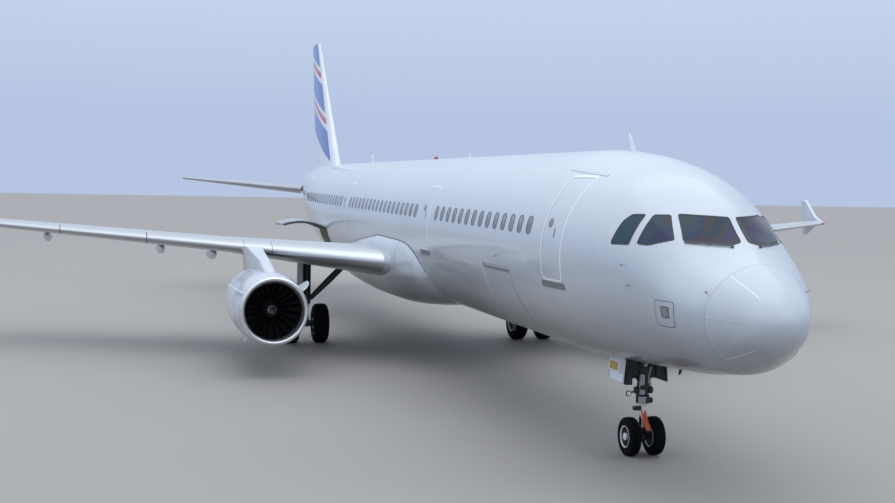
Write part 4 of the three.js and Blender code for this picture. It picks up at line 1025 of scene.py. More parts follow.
def drain_mast(centre, side):
    """A small vane in the cowl's paint that drips fuel and oil clear of the cowl, low on the outboard side."""
    low = radians(MAST["below"])
    out, flat = np.array([0, side * cos(low), -sin(low)]), np.array([0, side * sin(low), cos(low)])
    foot = centre + AFT * MAST["aft"] + out * (cowl_radius(MAST["aft"]) - 0.01)
    return vane(foot, out, flat, MAST["length"], MAST["chord"], MAST["sweep"],
                ((0, 1), (0.5, 0.85), (1, 0.7)), 0.012, 1 / 2)


for side, name, centre in ENGINES:
    lip = []
    for along, radius in smoothed(LIP, 40):
        raised = LIP_RAISED * max(1 - along / LIP_DEPTH, 0)
        lip += revolved([(along, radius)], centre + [0, 0, raised], AFT, 128)
    piece("intake_lip_" + name + "_ring", [skin(lip, closed=True)], [lip_alloy],
          "airframe", "bare_alloy", "intake_lip_" + name)
    outer, inner = smoothed(COWL_OUTER, 56).tolist(), smoothed(COWL_INNER, 44).tolist()
    edge = cowl_radius(NOZZLE_FROM)
    cowl_front = ([mark for mark in outer if mark[0] <= NOZZLE_FROM] + [(NOZZLE_FROM, edge), (NOZZLE_FROM, COWL_WALL)]
                  + [mark for mark in inner if mark[0] < NOZZLE_FROM])
    cowl_back = ([(NOZZLE_FROM + 0.002, edge)] + [mark for mark in outer if mark[0] > NOZZLE_FROM]
                 + [mark for mark in inner if mark[0] > NOZZLE_FROM])
    piece("cowl_" + name + "_shell", [
        ring_of(cowl_front, centre, AFT, 128), of(ring_of(cowl_back, centre, AFT, 128), 1),
        *(of(mark, 2) for mark in cowl_marks(centre)),
        strake(centre, side, STRAKE_RISE[0]), strake(centre, -side, STRAKE_RISE[1]),
        of(ring_of(LINER, centre, AFT, 128), 3), drain_mast(centre, side),
    ], [cowl_silver, nozzle_alloy, joint_dark, duct_liner], "airframe", "silver_paint", "cowl_" + name)

# Fans. Twenty-two twisted titanium blades stand round a pointed spinner with a pale swirl, which shows from the
# ground that the fan is turning.
FAN = dict(blades=22, middle=1.125, camber=0.02)
# Each at the root and at the tip of a blade.
FAN_BLADE = dict(radius=(0.215, 0.862), twist=(0.3, 1.05), half=(0.078, 0.135), thick=(0.014, 0.006))
BLADE_SECTION = [(-1, 0), (-0.55, 0.7), (0, 1), (0.55, 0.7), (1, 0), (0.55, -0.5), (0, -0.7), (-0.55, -0.5)]
SPINNER = np.array([(0.56, 0.004), (0.6, 0.075), (0.68, 0.13), (0.76, 0.18), (0.86, 0.225), (0.99, 0.262),
                    (1.29, 0.262)])
HUB_BACK = [(1.3, 0.09), (1.379, 0.09)]
SWIRL = dict(start=0.58, length=0.095, first=0.6, turns=1.15, half=0.017, point=0.002)
SWIRL_SECTION = ((-1, 0.003), (1, 0.003), (1, -0.006), (-1, -0.006))
# Painted shade: the titanium blades are coloured nearly black for the dark inside of the duct.
titanium = surface("fan_titanium_painted_shade", (0.010, 0.0105, 0.012), 0.5, metal=0.4, mottle=0.15, mottle_size=9)
spinner_paint = surface("spinner_dark_paint", (0.012, 0.012, 0.014), 0.5, coat=0.2, mottle=0.1, mottle_size=12)
swirl_paint = surface("swirl_paint", (0.30, 0.31, 0.33), 0.4, coat=0.2, mottle=0.08, mottle_size=12)


def round_engine(along, radius, turn):
    """A point from a distance along the engine, a radius and an angle."""
    return np.array([along, radius * cos(turn), radius * sin(turn)])


def fan_blade(centre, turn):
    """A blade that gets wider, thinner and more twisted towards its tip."""
    rows = []
    for t in np.linspace(0, 1, 9):
        radius, stagger, half, thick = (root + t * (tip - root) for root, tip in FAN_BLADE.values())
        row = []
        for c, d in BLADE_SECTION:
            rise = d * thick + FAN["camber"] * (1 - c * c)
            along = c * half * cos(stagger) - rise * sin(stagger)
            sweep = c * half * sin(stagger) + rise * cos(stagger)
            row.append(centre + round_engine(FAN["middle"] + along, radius, turn + sweep / radius))
        rows.append(row)
    return through(rows)


def swirl(centre):
    """The comma on the spinner: a strip that winds once round it and narrows to a point."""
    cone = flowing(SPINNER[:, 0], SPINNER[:, 1:])
    rows = []
    for t in np.linspace(0, 1, 48):
        turn = -(SWIRL["first"] + 2 * pi * SWIRL["turns"] * t)
        half = SWIRL["half"] * (1 - t) ** 0.6 + SWIRL["point"]
        row = []
        for step, lift in SWIRL_SECTION:
            spot = SWIRL["start"] + SWIRL["length"] * t + step * half
            row.append(centre + round_engine(spot, float(cone(spot)[0]) + lift, turn))
        rows.append(row)
    return through(rows)


for side, name, centre in ENGINES:
    blades = [fan_blade(centre, 2 * pi * k / FAN["blades"]) for k in range(FAN["blades"])]
    spinner = turned([*smoothed(SPINNER, 26), *HUB_BACK], centre, AFT, 64)
    piece("fan_" + name + "_rotor", [of(spinner, 1), *blades, of(swirl(centre), 2)],
          [titanium, spinner_paint, swirl_paint], "fan_" + name, "fan_titanium", "fan_" + name)

# Engine cores. The power unit is a closed dark casing behind the fan, which ends in a nozzle and a pointed plug.
# A ring of fixed vanes stands between the fan and the casing.
CORE = [(1.382, 0.004), (1.382, 0.876), (1.64, 0.876), (1.68, 0.64), (3.3, 0.62), (4.3, 0.47), (4.33, 0.3),
        (4.5, 0.27), (4.65, 0.215), (4.86, 0.004)]
VANES, VANE_SPAN = 46, (0.3, 0.87)
VANE_SECTION = [(1.34, -0.012), (1.345, 0), (1.384, 0.016), (1.384, 0.006)]
casing = surface("dark_engine_casing", (0.05, 0.05, 0.055), 0.5, metal=0.6, mottle=0.2, mottle_size=7,
                 worn=(0.12, 0.09, 0.07), worn_from=0.65)
for side, name, centre in ENGINES:
    shells = [turned(CORE, centre, AFT, 64)]
    for turn in 2 * pi * np.arange(VANES) / VANES:
        out, across_vane = np.array([0, cos(turn), sin(turn)]), np.array([0, -sin(turn), cos(turn)])
        shells.append(through([[centre + radius * out + AFT * a + across_vane * c for a, c in VANE_SECTION]
                               for radius in VANE_SPAN]))
    piece("engine_core_" + name + "_casing", shells, [casing], "airframe", "engine_dark", "engine_core_" + name)

# Pylons. A narrow fairing over the engine mount rises from the top of the cowl to the wing's leading edge and
# tapers to a tail under the flap.
PYLON_TOP = [(15.7, 2.68), (15.9, 2.76), (16.4, 2.88), (17.0, 2.97), (17.6, 3.03), (18.3, 3.11), (18.9, 3.2),
             (19.6, 3.22), (21.6, 3.02), (22.3, 2.88)]
PYLON_BOTTOM = [(15.7, 2.45), (16.4, 2.4), (17.6, 2.3), (19.6, 2.12), (20.15, 2.33), (21.2, 2.56), (22.3, 2.86)]
PYLON_HALF = [(15.7, 0.15), (16.0, 0.168), (17.5, 0.17), (20.6, 0.17), (22.3, 0.03)]
PYLON_FLARE = [(15.7, 0), (16.6, 0.02), (18.0, 0.12), (19.2, 0.24), (20.4, 0.1), (22.3, 0)]
FLARE_INBOARD, PYLON_NOSE = 0.45, 0.3
SHOULDER_FROM, SHOULDER_NARROWS = 0.8, 0.35


def looked_up(table, aft):
    return np.interp(aft, *np.array(table).T)


pylon_silver = surface("pylon_silver_paint", (0.58, 0.61, 0.67), 0.34, metal=0.15, coat=0.3, mottle=0.06,
                       mottle_size=3.4, worn=(0.27, 0.25, 0.24), worn_from=0.58)
rise = np.linspace(0, 1, 9)
pylon_start, pylon_end = PYLON_TOP[0][0], PYLON_TOP[-1][0]
for side, name in SIDES:
    loops = []
    for t in np.concatenate([rise[:-1] ** 2 * 0.05, np.linspace(0.05, 1, 60)]):
        aft = pylon_start + t * (pylon_end - pylon_start)
        blunt = np.sqrt(1 - max(1 - (aft - pylon_start) / PYLON_NOSE, 0) ** 2)
        half = looked_up(PYLON_HALF, aft) * max(blunt, 0.06)
        top, bottom = looked_up(PYLON_TOP, aft), looked_up(PYLON_BOTTOM, aft)
        above = np.maximum(rise - SHOULDER_FROM, 0) / (1 - SHOULDER_FROM)
        shoulder = 1 - SHOULDER_NARROWS * above * (aft < ENGINE["wing_edge"])
        flare = looked_up(PYLON_FLARE, aft) * rise ** 2
        inboard, outboard = -(half + flare * FLARE_INBOARD) * shoulder, (half + flare) * shoulder
        z = bottom + rise * (top - bottom)
        loops.append(place(aft, side * (ENGINE["y"] + np.concatenate([inboard[::-1], outboard])),
                           np.concatenate([z[::-1], z])))
    piece("pylon_" + name + "_fairing", [skin(loops)], [pylon_silver], "airframe", "silver_paint",
          "pylon_" + name, sharp=60)

# Wheels. Each rim is two bolted halves of forged alloy with a dark inner bowl, a white outer flange and a white
# hub cap. The tyres are ribbed rubber with grooves that run round the tread.
NOSE_GEAR = dict(aft=5.07, track=0.25, radius=0.3727, width=0.225, rim=0.195, axle=0.045)
MAIN_GEAR = dict(aft=21.98, track=0.463, radius=0.6228, width=0.455, rim=0.33, axle=0.075)
MAIN_LEG_Y = 3.795
GROOVES, GROOVE_DEEP = (0.26, 0.09, -0.09, -0.26), 0.025
# Sections hold (part of the width, part of the wall) or, for the rim, (part of the width, part of the rim's radius).
TYRE_WALL = [(0.36, 0), (0.44, 0.08), (0.485, 0.2), (0.5, 0.36), (0.497, 0.52), (0.478, 0.68), (0.44, 0.82),
             (0.39, 0.91), (0.33, 0.962)]
RIM_FACE = [(0.3, 0.3), (0.25, 0.42), (0.12, 0.62), (0.13, 0.78), (0.3, 0.84), (0.37, 0.86)]
FLANGE = [(0.4, 1.0), (0.45, 1.01), (0.476, 1.04), (0.482, 1.06), (0.47, 1.09), (0.4, 1.06), (0.3, 1), (0.3, 0.97)]
HUB_AT, BOLTS, BOLT_CIRCLE, BOLT_AT = 0.3, 12, 0.7, 0.14
TO_PORT = np.array([0, 1.0, 0])

tyre_rubber = surface("tyre_rubber", (0.007, 0.007, 0.008), 0.8, mottle=0.25, mottle_size=7, grain=0.4,
                      grain_size=260, worn=(0.02, 0.019, 0.018), worn_from=0.68, shine=0.05)
wheel_white = surface("wheel_white_enamel", (0.72, 0.73, 0.75), 0.35, coat=0.3, mottle=0.06, mottle_size=14)
wheel_dark = surface("wheel_dark_enamel", (0.016, 0.016, 0.018), 0.55, metal=0.3, mottle=0.2, mottle_size=16,
                     shine=0.2)


def both_walls(half, between=()):
    """An outline across the wheel, from one wall to its mirror image."""
    return [*half, *between, *((-x, r) for x, r in reversed(half))]


def tyre_section(gear):
    """The tyre's outline across it: beads, bulging walls, round shoulders and a grooved tread."""
    wall = gear["radius"] - gear["rim"]
    tread = []
    for x in GROOVES:
        rise = 1 - 0.35 * x * x
        floor = rise - GROOVE_DEEP * gear["radius"] / wall
        tread += [(x + 0.022, rise), (x + 0.016, floor), (x - 0.016, floor), (x - 0.022, rise)]
    return [(x * gear["width"], gear["rim"] + up * wall) for x, up in both_walls(TYRE_WALL, tread)]


def wheel(name, body, gear, y, outboard):
    """A tyre and its rim, with the white cap and bolts on the side that faces out."""
    centre, out = np.array([gear["aft"], y, gear["radius"]]), outboard * TO_PORT
    piece("tyre_" + name + "_ribbed", [ring_of(tyre_section(gear), centre, TO_PORT, 96)], [tyre_rubber],
          body, "tyre", "tyre_" + name, sharp=24)
    rim, width = gear["rim"] - 0.0009, gear["width"]
    face = [(HUB_AT * width, gear["axle"] + 0.004)] + [(x * width, r * rim) for x, r in RIM_FACE]
    shells = [of(ring_of(both_walls(face) + [(-0.36 * width, rim), (0.36 * width, rim)], centre, TO_PORT, 64), 1)]
    for side in (-1, 1):
        ring = ring_of([(side * x * width, r * rim) for x, r in FLANGE], centre, TO_PORT, 64)
        shells.append(of(ring, 0 if side == outboard or gear is NOSE_GEAR else 1))
    over_nut = 1.35 * gear["axle"] + 0.004
    cap = [(-0.012, over_nut), (-0.012, over_nut + 0.007), (0.038, over_nut + 0.007), (0.05, 0.8 * over_nut),
           (0.053, 0.001), (0.034, 0.001), (0.033, over_nut)]
    shells.append(ring_of(cap, centre + out * HUB_AT * width, out, 32))
    for turn in 2 * pi * (np.arange(BOLTS) + 0.5) / BOLTS:
        spot = centre + out * BOLT_AT * width + BOLT_CIRCLE * rim * np.array([cos(turn), 0, sin(turn)])
        shells.append(turned([(0, 0.012), (0.03, 0.012), (0.04, 0.006)], spot, out, 8))
    piece("rim_" + name + "_halves", shells, [wheel_white, wheel_dark], body, "wheel_white", "rim_" + name)


for side, name in SIDES:
    wheel("nose_" + name, "nose_wheels", NOSE_GEAR, side * NOSE_GEAR["track"], side)
for side, name in SIDES:
    for which, out in (("outer", 1), ("inner", -1)):
        wheel("main_" + name + "_" + which, "main_wheels_" + name, MAIN_GEAR,
              side * (MAIN_LEG_Y + out * MAIN_GEAR["track"]), side * out)

# Nose gear leg. A forged cylinder hangs from a trunnion in the bay, held by a folding drag stay ahead of it and two
# braces. The lower leg turns in it for steering and carries a collar, scissor links and the axle.
STEER_JOINT = 1.18
ROOF, WALL, DRAG_AT = BAY["roof"] - 0.001, BAY["half"] - 0.001, BAY["front"] + 0.09 - NOSE_GEAR["aft"]
NOSE_LEG_RODS = [
    # start and end from the foot of the leg's axis, the two radii, sides, finish: 0 grey, 1 dark
    ((0, 0, STEER_JOINT + 0.001), (0, 0, ROOF), 0.105, 0.105, 32, 1),
    ((-0.075, -0.055, STEER_JOINT + 0.01), (-0.05, -0.045, 1.58), 0.058, 0.058, 24, 0),
    ((-0.13, -0.06, 1.33), (-0.1, -0.06, 1.33), 0.05, 0.05, 16, 1),
    ((-0.05, -0.12, 1.45), (-0.05, -0.41, 1.82), 0.021, 0.021, 12, 1),
    ((-0.06, 0.04, 1.4), (-0.06, 0.13, 1.72), 0.018, 0.018, 12, 0),
    ((0, -WALL, 2.38), (0, WALL, 2.38), 0.06, 0.06, 20, 0),
    ((0, 0, 1.65), (DRAG_AT, 0, 2.56), 0.042, 0.042, 20, 0),
    ((DRAG_AT, -WALL, 2.52), (DRAG_AT, WALL, 2.52), 0.036, 0.036, 20, 0),
    ((0, 0, 1.32), (0, 0, 1.4), 0.118, 0.118, 32, 1),
    ((0, 0, 1.6), (0, 0, 1.72), 0.116, 0.116, 32, 1),
    ((-0.06, -0.2, 1.25), (-0.1, -0.36, 1.235), 0.016, 0.016, 10, 1),
    ((-0.09, -0.36, 1.235), (-0.14, -0.36, 1.235), 0.04, 0.058, 20, 1),
    ((-0.141, -0.36, 1.235), (-0.152, -0.36, 1.235), 0.04, 0.04, 20, 2),
]
BRACES = [
    ((0, 0, STEER_JOINT + 0.17), (0, 0.33, 2.38), 0.04, 0.04, 20, 1),
    ((-0.02, 0.09, 1.27), (-0.02, 0.18, 1.27), 0.07, 0.07, 20, 1),
]
HOSES = [(-0.115, 0.012), (0.12, 0.01), (0.15, 0.008)]
HOSE = dict(low=1.25, high=2.35, step=0.18, ahead=0.03, sway=0.02, waves=9)
LOWER_LEG_RODS = [
    # as above, with 3 for chrome
    ((0, 0, STEER_JOINT - 0.19), (0, 0, STEER_JOINT), 0.13, 0.13, 32, 1),
    ((-0.09, -0.05, STEER_JOINT - 0.17), (-0.09, -0.05, STEER_JOINT - 0.02), 0.072, 0.072, 24, 0),
    ((-0.03, 0.1, 1.07), (-0.03, 0.18, 1.07), 0.055, 0.055, 20, 1),
    ((0, 0, STEER_JOINT - 0.2), (0, 0, STEER_JOINT - 0.155), 0.1315, 0.1315, 32, 3),
    ((0, 0, NOSE_GEAR["radius"]), (0, 0, STEER_JOINT - 0.18), 0.062, 0.062, 28, 3),
    ((0, 0, NOSE_GEAR["radius"] - 0.07), (0, 0, 0.55), 0.08, 0.066, 28, 1),
]
gear_grey = surface("gear_grey_paint", (0.30, 0.31, 0.33), 0.4, metal=0.3, coat=0.2, mottle=0.15, mottle_size=9,
                    worn=(0.10, 0.10, 0.10), worn_from=0.6)
gear_dark = surface("gear_dark_fittings", (0.025, 0.026, 0.028), 0.55, metal=0.3, mottle=0.25, mottle_size=14)
chrome = surface("chromed_piston", (0.75, 0.76, 0.78), 0.12, metal=1.0, mottle=0.03, mottle_size=20)
link_red = surface("red_link_paint", (0.62, 0.09, 0.03), 0.4, coat=0.3, mottle=0.12, mottle_size=20)
lamp_glass = surface("lamp_glass", (0.80, 0.82, 0.84), 0.1, metal=0.6, coat=0.8, mottle=0.05, mottle_size=30)


def bar(start, end, radius, end_radius=None, count=20):
    """A round bar with slightly turned ends."""
    start, end = np.array(start, float), np.array(end, float)
    length = np.linalg.norm(end - start)
    last = radius if end_radius is None else end_radius
    trim = min(0.006, length / 6)
    return turned([(0, radius - trim), (trim, radius), (length - trim, last), (length, last - trim)],
                  start, end - start, count)


def rods(foot, rows, side=1):
    """Round bars from rows like those above, mirrored for the starboard side."""
    mirror = np.array([1, side, 1])
    return [of(bar(foot + mirror * start, foot + mirror * end, *sizes), finish)
            for start, end, *sizes, finish in rows]


def side_plate(outline, y0, y1, radius=0.02):
    """A flat plate that stands along the aircraft, from an outline of (aft, height)."""
    edge = rounded(outline, radius, 3, step=9)
    return skin([place(edge[:, 0], y, edge[:, 1]) for y in (y0, y1)])


def axle_through(gear, y, axle, collar, nut):
    """An axle with collars against the inner sides of the hubs, and nuts outside them, in three finishes."""
    hub = HUB_AT * gear["width"] + 0.0008
    inner, outer, radius = gear["track"] - hub, gear["track"] + hub, gear["axle"]
    rows = [((0, -outer - 0.02, 0), (0, outer + 0.02, 0), radius, radius, 20, axle),
            ((0, -inner, 0), (0, inner, 0), 1.35 * radius, 1.35 * radius, 20, collar)]
    rows += [((0, way * outer, 0), (0, way * (outer + 0.03), 0), 1.35 * radius, 1.1 * radius, 20, nut)
             for way in (-1, 1)]
    return rods(np.array([gear["aft"], y, gear["radius"]]), rows)


def scissor_links(aft, y, top, bottom, reach, width, knee, upper, lower, pin):
    """Two hinged links and the pin at their knee, in three finishes: each link is a fork with a web."""
    shells = []
    for root, step, end, finish in ((top, -0.035, knee + 0.005, upper), (bottom, 0.035, knee - 0.003, lower)):
        fork = [(aft, root), (aft, root + 2 * step), (aft + reach, end - 0.025), (aft + reach, end + 0.025)]
        shells += [of(side_plate(fork, y + way * width * 0.5, y + way * width * 0.3, 0.012), finish)
                   for way in (-1, 1)]
        web_aft, web_z = aft + 0.3 * reach, root + 0.3 * (end - root - step)
        web = [(web_aft, web_z + 1.1 * step), (web_aft, web_z + 0.9 * step - 0.012),
               (aft + reach, end - 0.012), (aft + reach, end + 0.012)]
        shells.append(of(side_plate(web, y - width * 0.31, y + width * 0.31, 0.004), finish))
    shells.append(of(bar([aft + reach, y - width / 2, knee], [aft + reach, y + width / 2, knee], 0.024), pin))
    return shells


nose_foot = NOSE_GEAR["aft"] * AFT
leg_aft = NOSE_GEAR["aft"]
shells = rods(nose_foot, NOSE_LEG_RODS)
for side, bracket_low in ((-1, 1.38), (1, 1.52)):
    shells += rods(nose_foot, BRACES, side)
    shells += [of(block((leg_aft - 0.06, leg_aft + 0.04), (side * 0.25, side * 0.385), (bracket_low, 1.93)), 1),
               of(block((leg_aft - 0.02, leg_aft + 0.02), (side * 0.09, side * 0.25), (1.5, 1.98)), 1)]
for offset, radius in HOSES:
    for low in np.linspace(HOSE["low"], HOSE["high"], 7):
        ends = [[HOSE["sway"] * sin(HOSE["waves"] * z) - HOSE["ahead"], offset, z] for z in (low, low + HOSE["step"])]
        shells.append(of(bar(*(nose_foot + ends), radius, count=8), 1))
piece("nose_leg_forging", shells, [gear_grey, gear_dark, lamp_glass], "airframe", "gear_steel", "nose_leg")
piece("nose_steered_leg", [
    *rods(nose_foot, LOWER_LEG_RODS),
    of(block((leg_aft - 0.06, leg_aft + 0.06), (-0.18, -0.05), (0.88, 0.95)), 1),
    *scissor_links(leg_aft, 0, 0.95, 0.4, -0.3, 0.09, 0.52, 2, 1, 1), *axle_through(NOSE_GEAR, 0, 0, 1, 1),
], [gear_grey, gear_dark, link_red, chrome], "nose_steering", "gear_steel", "nose_steering_leg")

# Nose gear doors. Two stiffened panels hang open from the edges of the bay and carry blank plates.
# Their inner faces are dark, with a lattice of ribs.
NOSE_DOOR = dict(front=4.95, back=5.66, top=1.95, belly=1.89, low=1.42, splay=0.045, thick=0.03, hang=0.402)
plate_yellow = surface("yellow_plate", (0.50, 0.36, 0.08), 0.5, mottle=0.1, mottle_size=12)


def leaf(side, out, front, back, top, low, corner, finish):
    """A slice of the door: out holds its outer and inner faces as distances from the bay's edge."""
    outline = oblong(front, back, low, top, corner, 4, step=0.1)
    lean = NOSE_DOOR["splay"] * (NOSE_DOOR["top"] - outline[:, 1]) / (NOSE_DOOR["top"] - NOSE_DOOR["low"])
    return of(skin([place(outline[:, 0], side * (NOSE_DOOR["hang"] + off + lean), outline[:, 1]) for off in out]),
              finish)


front, back, top, low, face = (NOSE_DOOR[size] for size in ("front", "back", "belly", "low", "thick"))
DOOR_LEAVES = [
    # faces, front, back, top, low, corner, finish: 0 silver, 1 dark, 2 white, 3 yellow
    ((0.012, face), front, back, top, low, 0.05, 0),
    ((0.008, 0.014), front + 0.01, back - 0.01, top - 0.01, low + 0.01, 0.05, 1),
    *(((0, 0.013), aft, aft + 0.04, top - 0.03, low + 0.03, 0.004, 1)
      for aft in np.linspace(front + 0.03, back - 0.07, 4)),
    *(((0, 0.013), front + 0.03, back - 0.03, z + 0.03, z, 0.004, 1) for z in (1.46, 1.6, 1.74)),
    ((face, face + 0.004), back - 0.46, back - 0.005, 1.81, 1.6, 0.02, 2),
    ((face, face + 0.007), back - 0.42, back - 0.04, 1.785, 1.625, 0.01, 3),
    ((face, face + 0.004), front + 0.02, back - 0.1, 1.59, low + 0.015, 0.02, 2),
]
for side, name in SIDES:
    piece("nose_gear_door_" + name + "_panel", [leaf(side, *row) for row in DOOR_LEAVES],
          [plain_silver, gear_dark, white_paint, plate_yellow], "airframe", "silver_paint", "nose_gear_door_" + name)

# Main gear legs. Each shock strut hangs under the wing, with a sliding chromed piston, scissor links behind it and a
# side stay up to the fuselage. Its door is clipped to the outer side of the leg.
MAIN_LEG = dict(cylinder=0.15, piston=0.095, seal=1.25)
BRAKE = dict(radius=0.19, deep=0.085)
LEG_DOOR_TOP = (21.45, 21.8, 22.15, 22.5)
LEG_DOOR_FOOT = [(22.56, 1.9), (22.42, 1.33), (21.56, 1.33), (21.38, 1.9)]
# Painted shade: the leg door is coloured dark grey for the shade under the wing.
leg_door_shaded = surface("leg_door_painted_shade", (0.12, 0.125, 0.135), 0.5, mottle=0.12, mottle_size=6,
                      worn=(0.05, 0.05, 0.05), worn_from=0.6)
# Painted shade: the strut and its side stay are coloured nearly black for the shade under the wing.
main_leg_shaded = surface("main_leg_painted_shade", (0.055, 0.057, 0.062), 0.5, metal=0.3, mottle=0.2, mottle_size=9,
                        worn=(0.03, 0.03, 0.03), worn_from=0.6)


def under_wing(aft, y):
    """Height of the wing's lower skin above a place in the plan."""
    share = (y - WING_ROOT) / (WING_KINK - WING_ROOT)
    rules = [wing_rule(part, -1, outer=False) for part in np.linspace(0.1, 1, 40)]
    line = np.array([inboard + share * (outboard - inboard) for inboard, outboard in rules])
    return float(np.interp(aft, line[:, 0], line[:, 2]))


head = under_wing(MAIN_GEAR["aft"], MAIN_LEG_Y) + 0.03
seal, cylinder = MAIN_LEG["seal"], MAIN_LEG["cylinder"]
MAIN_LEG_RODS = [
    # start and end from the foot of the leg's axis, the two radii, sides, finish: 0 grey, 1 chrome, 2 dark
    ((0, 0, seal), (0, 0, head), cylinder, cylinder, 36, 0),
    ((0, 0, seal), (0, 0, seal + 0.1), cylinder + 0.001, cylinder + 0.001, 36, 0),
    ((0, 0, MAIN_GEAR["radius"]), (0, 0, seal + 0.01), MAIN_LEG["piston"], MAIN_LEG["piston"], 32, 1),
    ((0, 0, MAIN_GEAR["radius"] - 0.1), (0, 0, 0.88), 0.125, 0.1, 28, 0),
    ((-0.16, 0.05, 1.3), (-0.16, 0.05, head - 0.05), 0.02, 0.02, 10, 2),
    ((-0.15, -0.07, 1.2), (-0.15, -0.07, head - 0.02), 0.014, 0.014, 10, 2),
]
for side, name in SIDES:
    aft, y = MAIN_GEAR["aft"], side * MAIN_LEG_Y
    foot = np.array([aft, y, 0])
    shells = rods(foot, MAIN_LEG_RODS, side)
    shells += scissor_links(aft, y, 1.42, 0.7, 0.38, 0.15, 1.06, 0, 0, 2)
    shells += axle_through(MAIN_GEAR, y, 0, 0, 2)
    hub = MAIN_GEAR["track"] - HUB_AT * MAIN_GEAR["width"] - 0.006
    shells += rods(foot, [((0, way * (hub - BRAKE["deep"]), MAIN_GEAR["radius"]),
                           (0, way * hub, MAIN_GEAR["radius"]), BRAKE["radius"], BRAKE["radius"], 32, 2)
                          for way in (-1, 1)])
    piece("main_gear_leg_" + name + "_strut", shells, [main_leg_shaded, chrome, gear_dark],
          "airframe", "gear_steel", "main_gear_leg_" + name)
    stay_top, stay_foot = np.array([aft - 0.15, side * 2.5, 2.592]), np.array([aft, y - side * 0.13, 1.4])
    knee = (stay_top + stay_foot) / 2
    piece("side_stay_" + name + "_links", [
        bar(stay_top, knee, 0.095, 0.105), bar(knee, stay_foot, 0.105, 0.075),
        of(bar(knee - 0.08 * AFT, knee + 0.08 * AFT, 0.05), 1),
    ], [main_leg_shaded, gear_dark], "airframe", "gear_steel", "side_stay_" + name)
    inner = MAIN_LEG_Y + cylinder + 0.016
    outline = [(a, under_wing(a, inner) - 0.004) for a in LEG_DOOR_TOP] + LEG_DOOR_FOOT
    edge = evened(rounded(outline, 0.04, 3, step=9), 0.25)
    shells = [skin([place(edge[:, 0], side * (inner + off), edge[:, 1]) for off in (0.008, 0.036)])]
    for rib_z in (1.5, 1.8, 2.1, 2.35):
        rib = oblong(21.55, 22.4, rib_z, rib_z + 0.04, 0.005, 2, step=9)
        shells.append(of(skin([place(rib[:, 0], side * (inner + off), rib[:, 1]) for off in (0, 0.009)]), 1))
    for clip_z in (1.65, 2.15):
        shells.append(of(bar([aft, side * (inner - 0.018), clip_z], [aft, side * (inner + 0.01), clip_z], 0.06), 1))
    piece("main_gear_door_" + name + "_panel", shells, [leg_door_shaded, gear_dark],
          "airframe", "silver_paint", "main_gear_door_" + name)

# Fin and rudder. The fin box is carbon composite with a bare white leading edge that flares into the fuselage.
# Its sides carry broad slanted bands of blue, with narrower red ones between them.
FIN = np.array([
    # z, leading edge aft, chord, thickness
    [5.4, 36.45, 6.42, 0.1],
    [6.1, 37.06, 5.76, 0.1],
    [11.76, 42.15, 1.92, 0.095],
])
FIN_FOOT, FIN_CAP = 5.45, dict(low=11.7, high=11.76, part=0.97, shift=0.015)
RUDDER = dict(low=6.15, high=11.5, part=0.68)
RUDDER_END_GAP, RUDDER_COVE_GAP = 4 * RUN_GAP, 1.1 * RUN_GAP
BANDS = dict(first=6.75, pitch=1.7, slant=0.3, slant_from=40, front=0.1)
BAND_COLOURS = [(0, (0.06, 0.19, 0.63)), (0.62, (1, 1, 1)), (0.74, (0.72, 0.07, 0.09)), (0.88, (1, 1, 1))]


def banded(finish, colours):
    """Adds rows of slanted bands behind the leading edge, each from its part of the pitch on."""
    axes = own_axes(finish)
    rise, edge_run, chord_run = (FIN[2] - FIN[1])[:3]
    slope = (edge_run + BANDS["front"] * chord_run) / rise
    start = FIN[1, 1] + BANDS["front"] * FIN[1, 2] - slope * FIN[1, 0]
    behind_edge = maths(finish, "MULTIPLY_ADD", axes["Z"], -slope / MODEL,
                        maths(finish, "MULTIPLY_ADD", axes["X"], -1 / MODEL, NOSE_X / MODEL - start))
    lowest = BANDS["first"] + BANDS["slant"] * (NOSE_X / MODEL - BANDS["slant_from"])
    height = maths(finish, "MULTIPLY_ADD", axes["X"], BANDS["slant"] / MODEL,
                   maths(finish, "MULTIPLY_ADD", axes["Z"], 1 / MODEL, -lowest))
    pitch = BANDS["pitch"]
    share = maths(finish, "DIVIDE", maths(finish, "FLOORED_MODULO", height, pitch), pitch)
    painted = maths(finish, "MULTIPLY", maths(finish, "GREATER_THAN", height, 0),
                    maths(finish, "GREATER_THAN", behind_edge, 0))
    return laid_over(finish, ramp(finish, share, colours, "CONSTANT"), painted, "MULTIPLY")


tail_paint = banded(surface("banded_tail_paint", (0.80, 0.83, 0.87), 0.3, coat=0.4, mottle=0.06, mottle_size=2.2),
                    BAND_COLOURS)


def fin_point(z, part, face):
    edge, chord, thickness = (np.interp(z, FIN[:, 0], FIN[:, column]) for column in (1, 2, 3))
    return np.array([edge + part * chord, face * half_thick(part, thickness) * chord, z])


def fin_faces(z, parts):
    """The fin's outline at a height, over a range of the chord: back along the port side, forward again."""
    return both_faces(parts, lambda part, face: fin_point(z, part, face))


def rudder_radius(z):
    """Half the fin's thickness at the hinge line, which rounds the rudder's front."""
    return np.interp(z, (RUDDER["low"], RUDDER["high"]), rudder_radii)


def about_hinge(z, radius, turns):
    """Points round the rudder's hinge line at a height, level with the ground."""
    return [fin_point(z, RUDDER["part"], 0) + radius * np.array([-cos(turn), sin(turn), 0]) for turn in turns]


def fin_box_row(z):
    """The fin ahead of the rudder at a height, with the hollow that the rudder's round front turns in."""
    radius = rudder_radius(z) + RUDDER_COVE_GAP
    reach = np.arcsin(min(fin_point(z, RUDDER["part"] - 0.012, 1)[1] / radius, 1))
    skins = fin_faces(z, front_parts[front_parts < RUDDER["part"] - 0.02])
    back = len(skins) // 2
    return skins[:back] + about_hinge(z, radius, np.linspace(reach, -reach, 13)) + skins[back:]


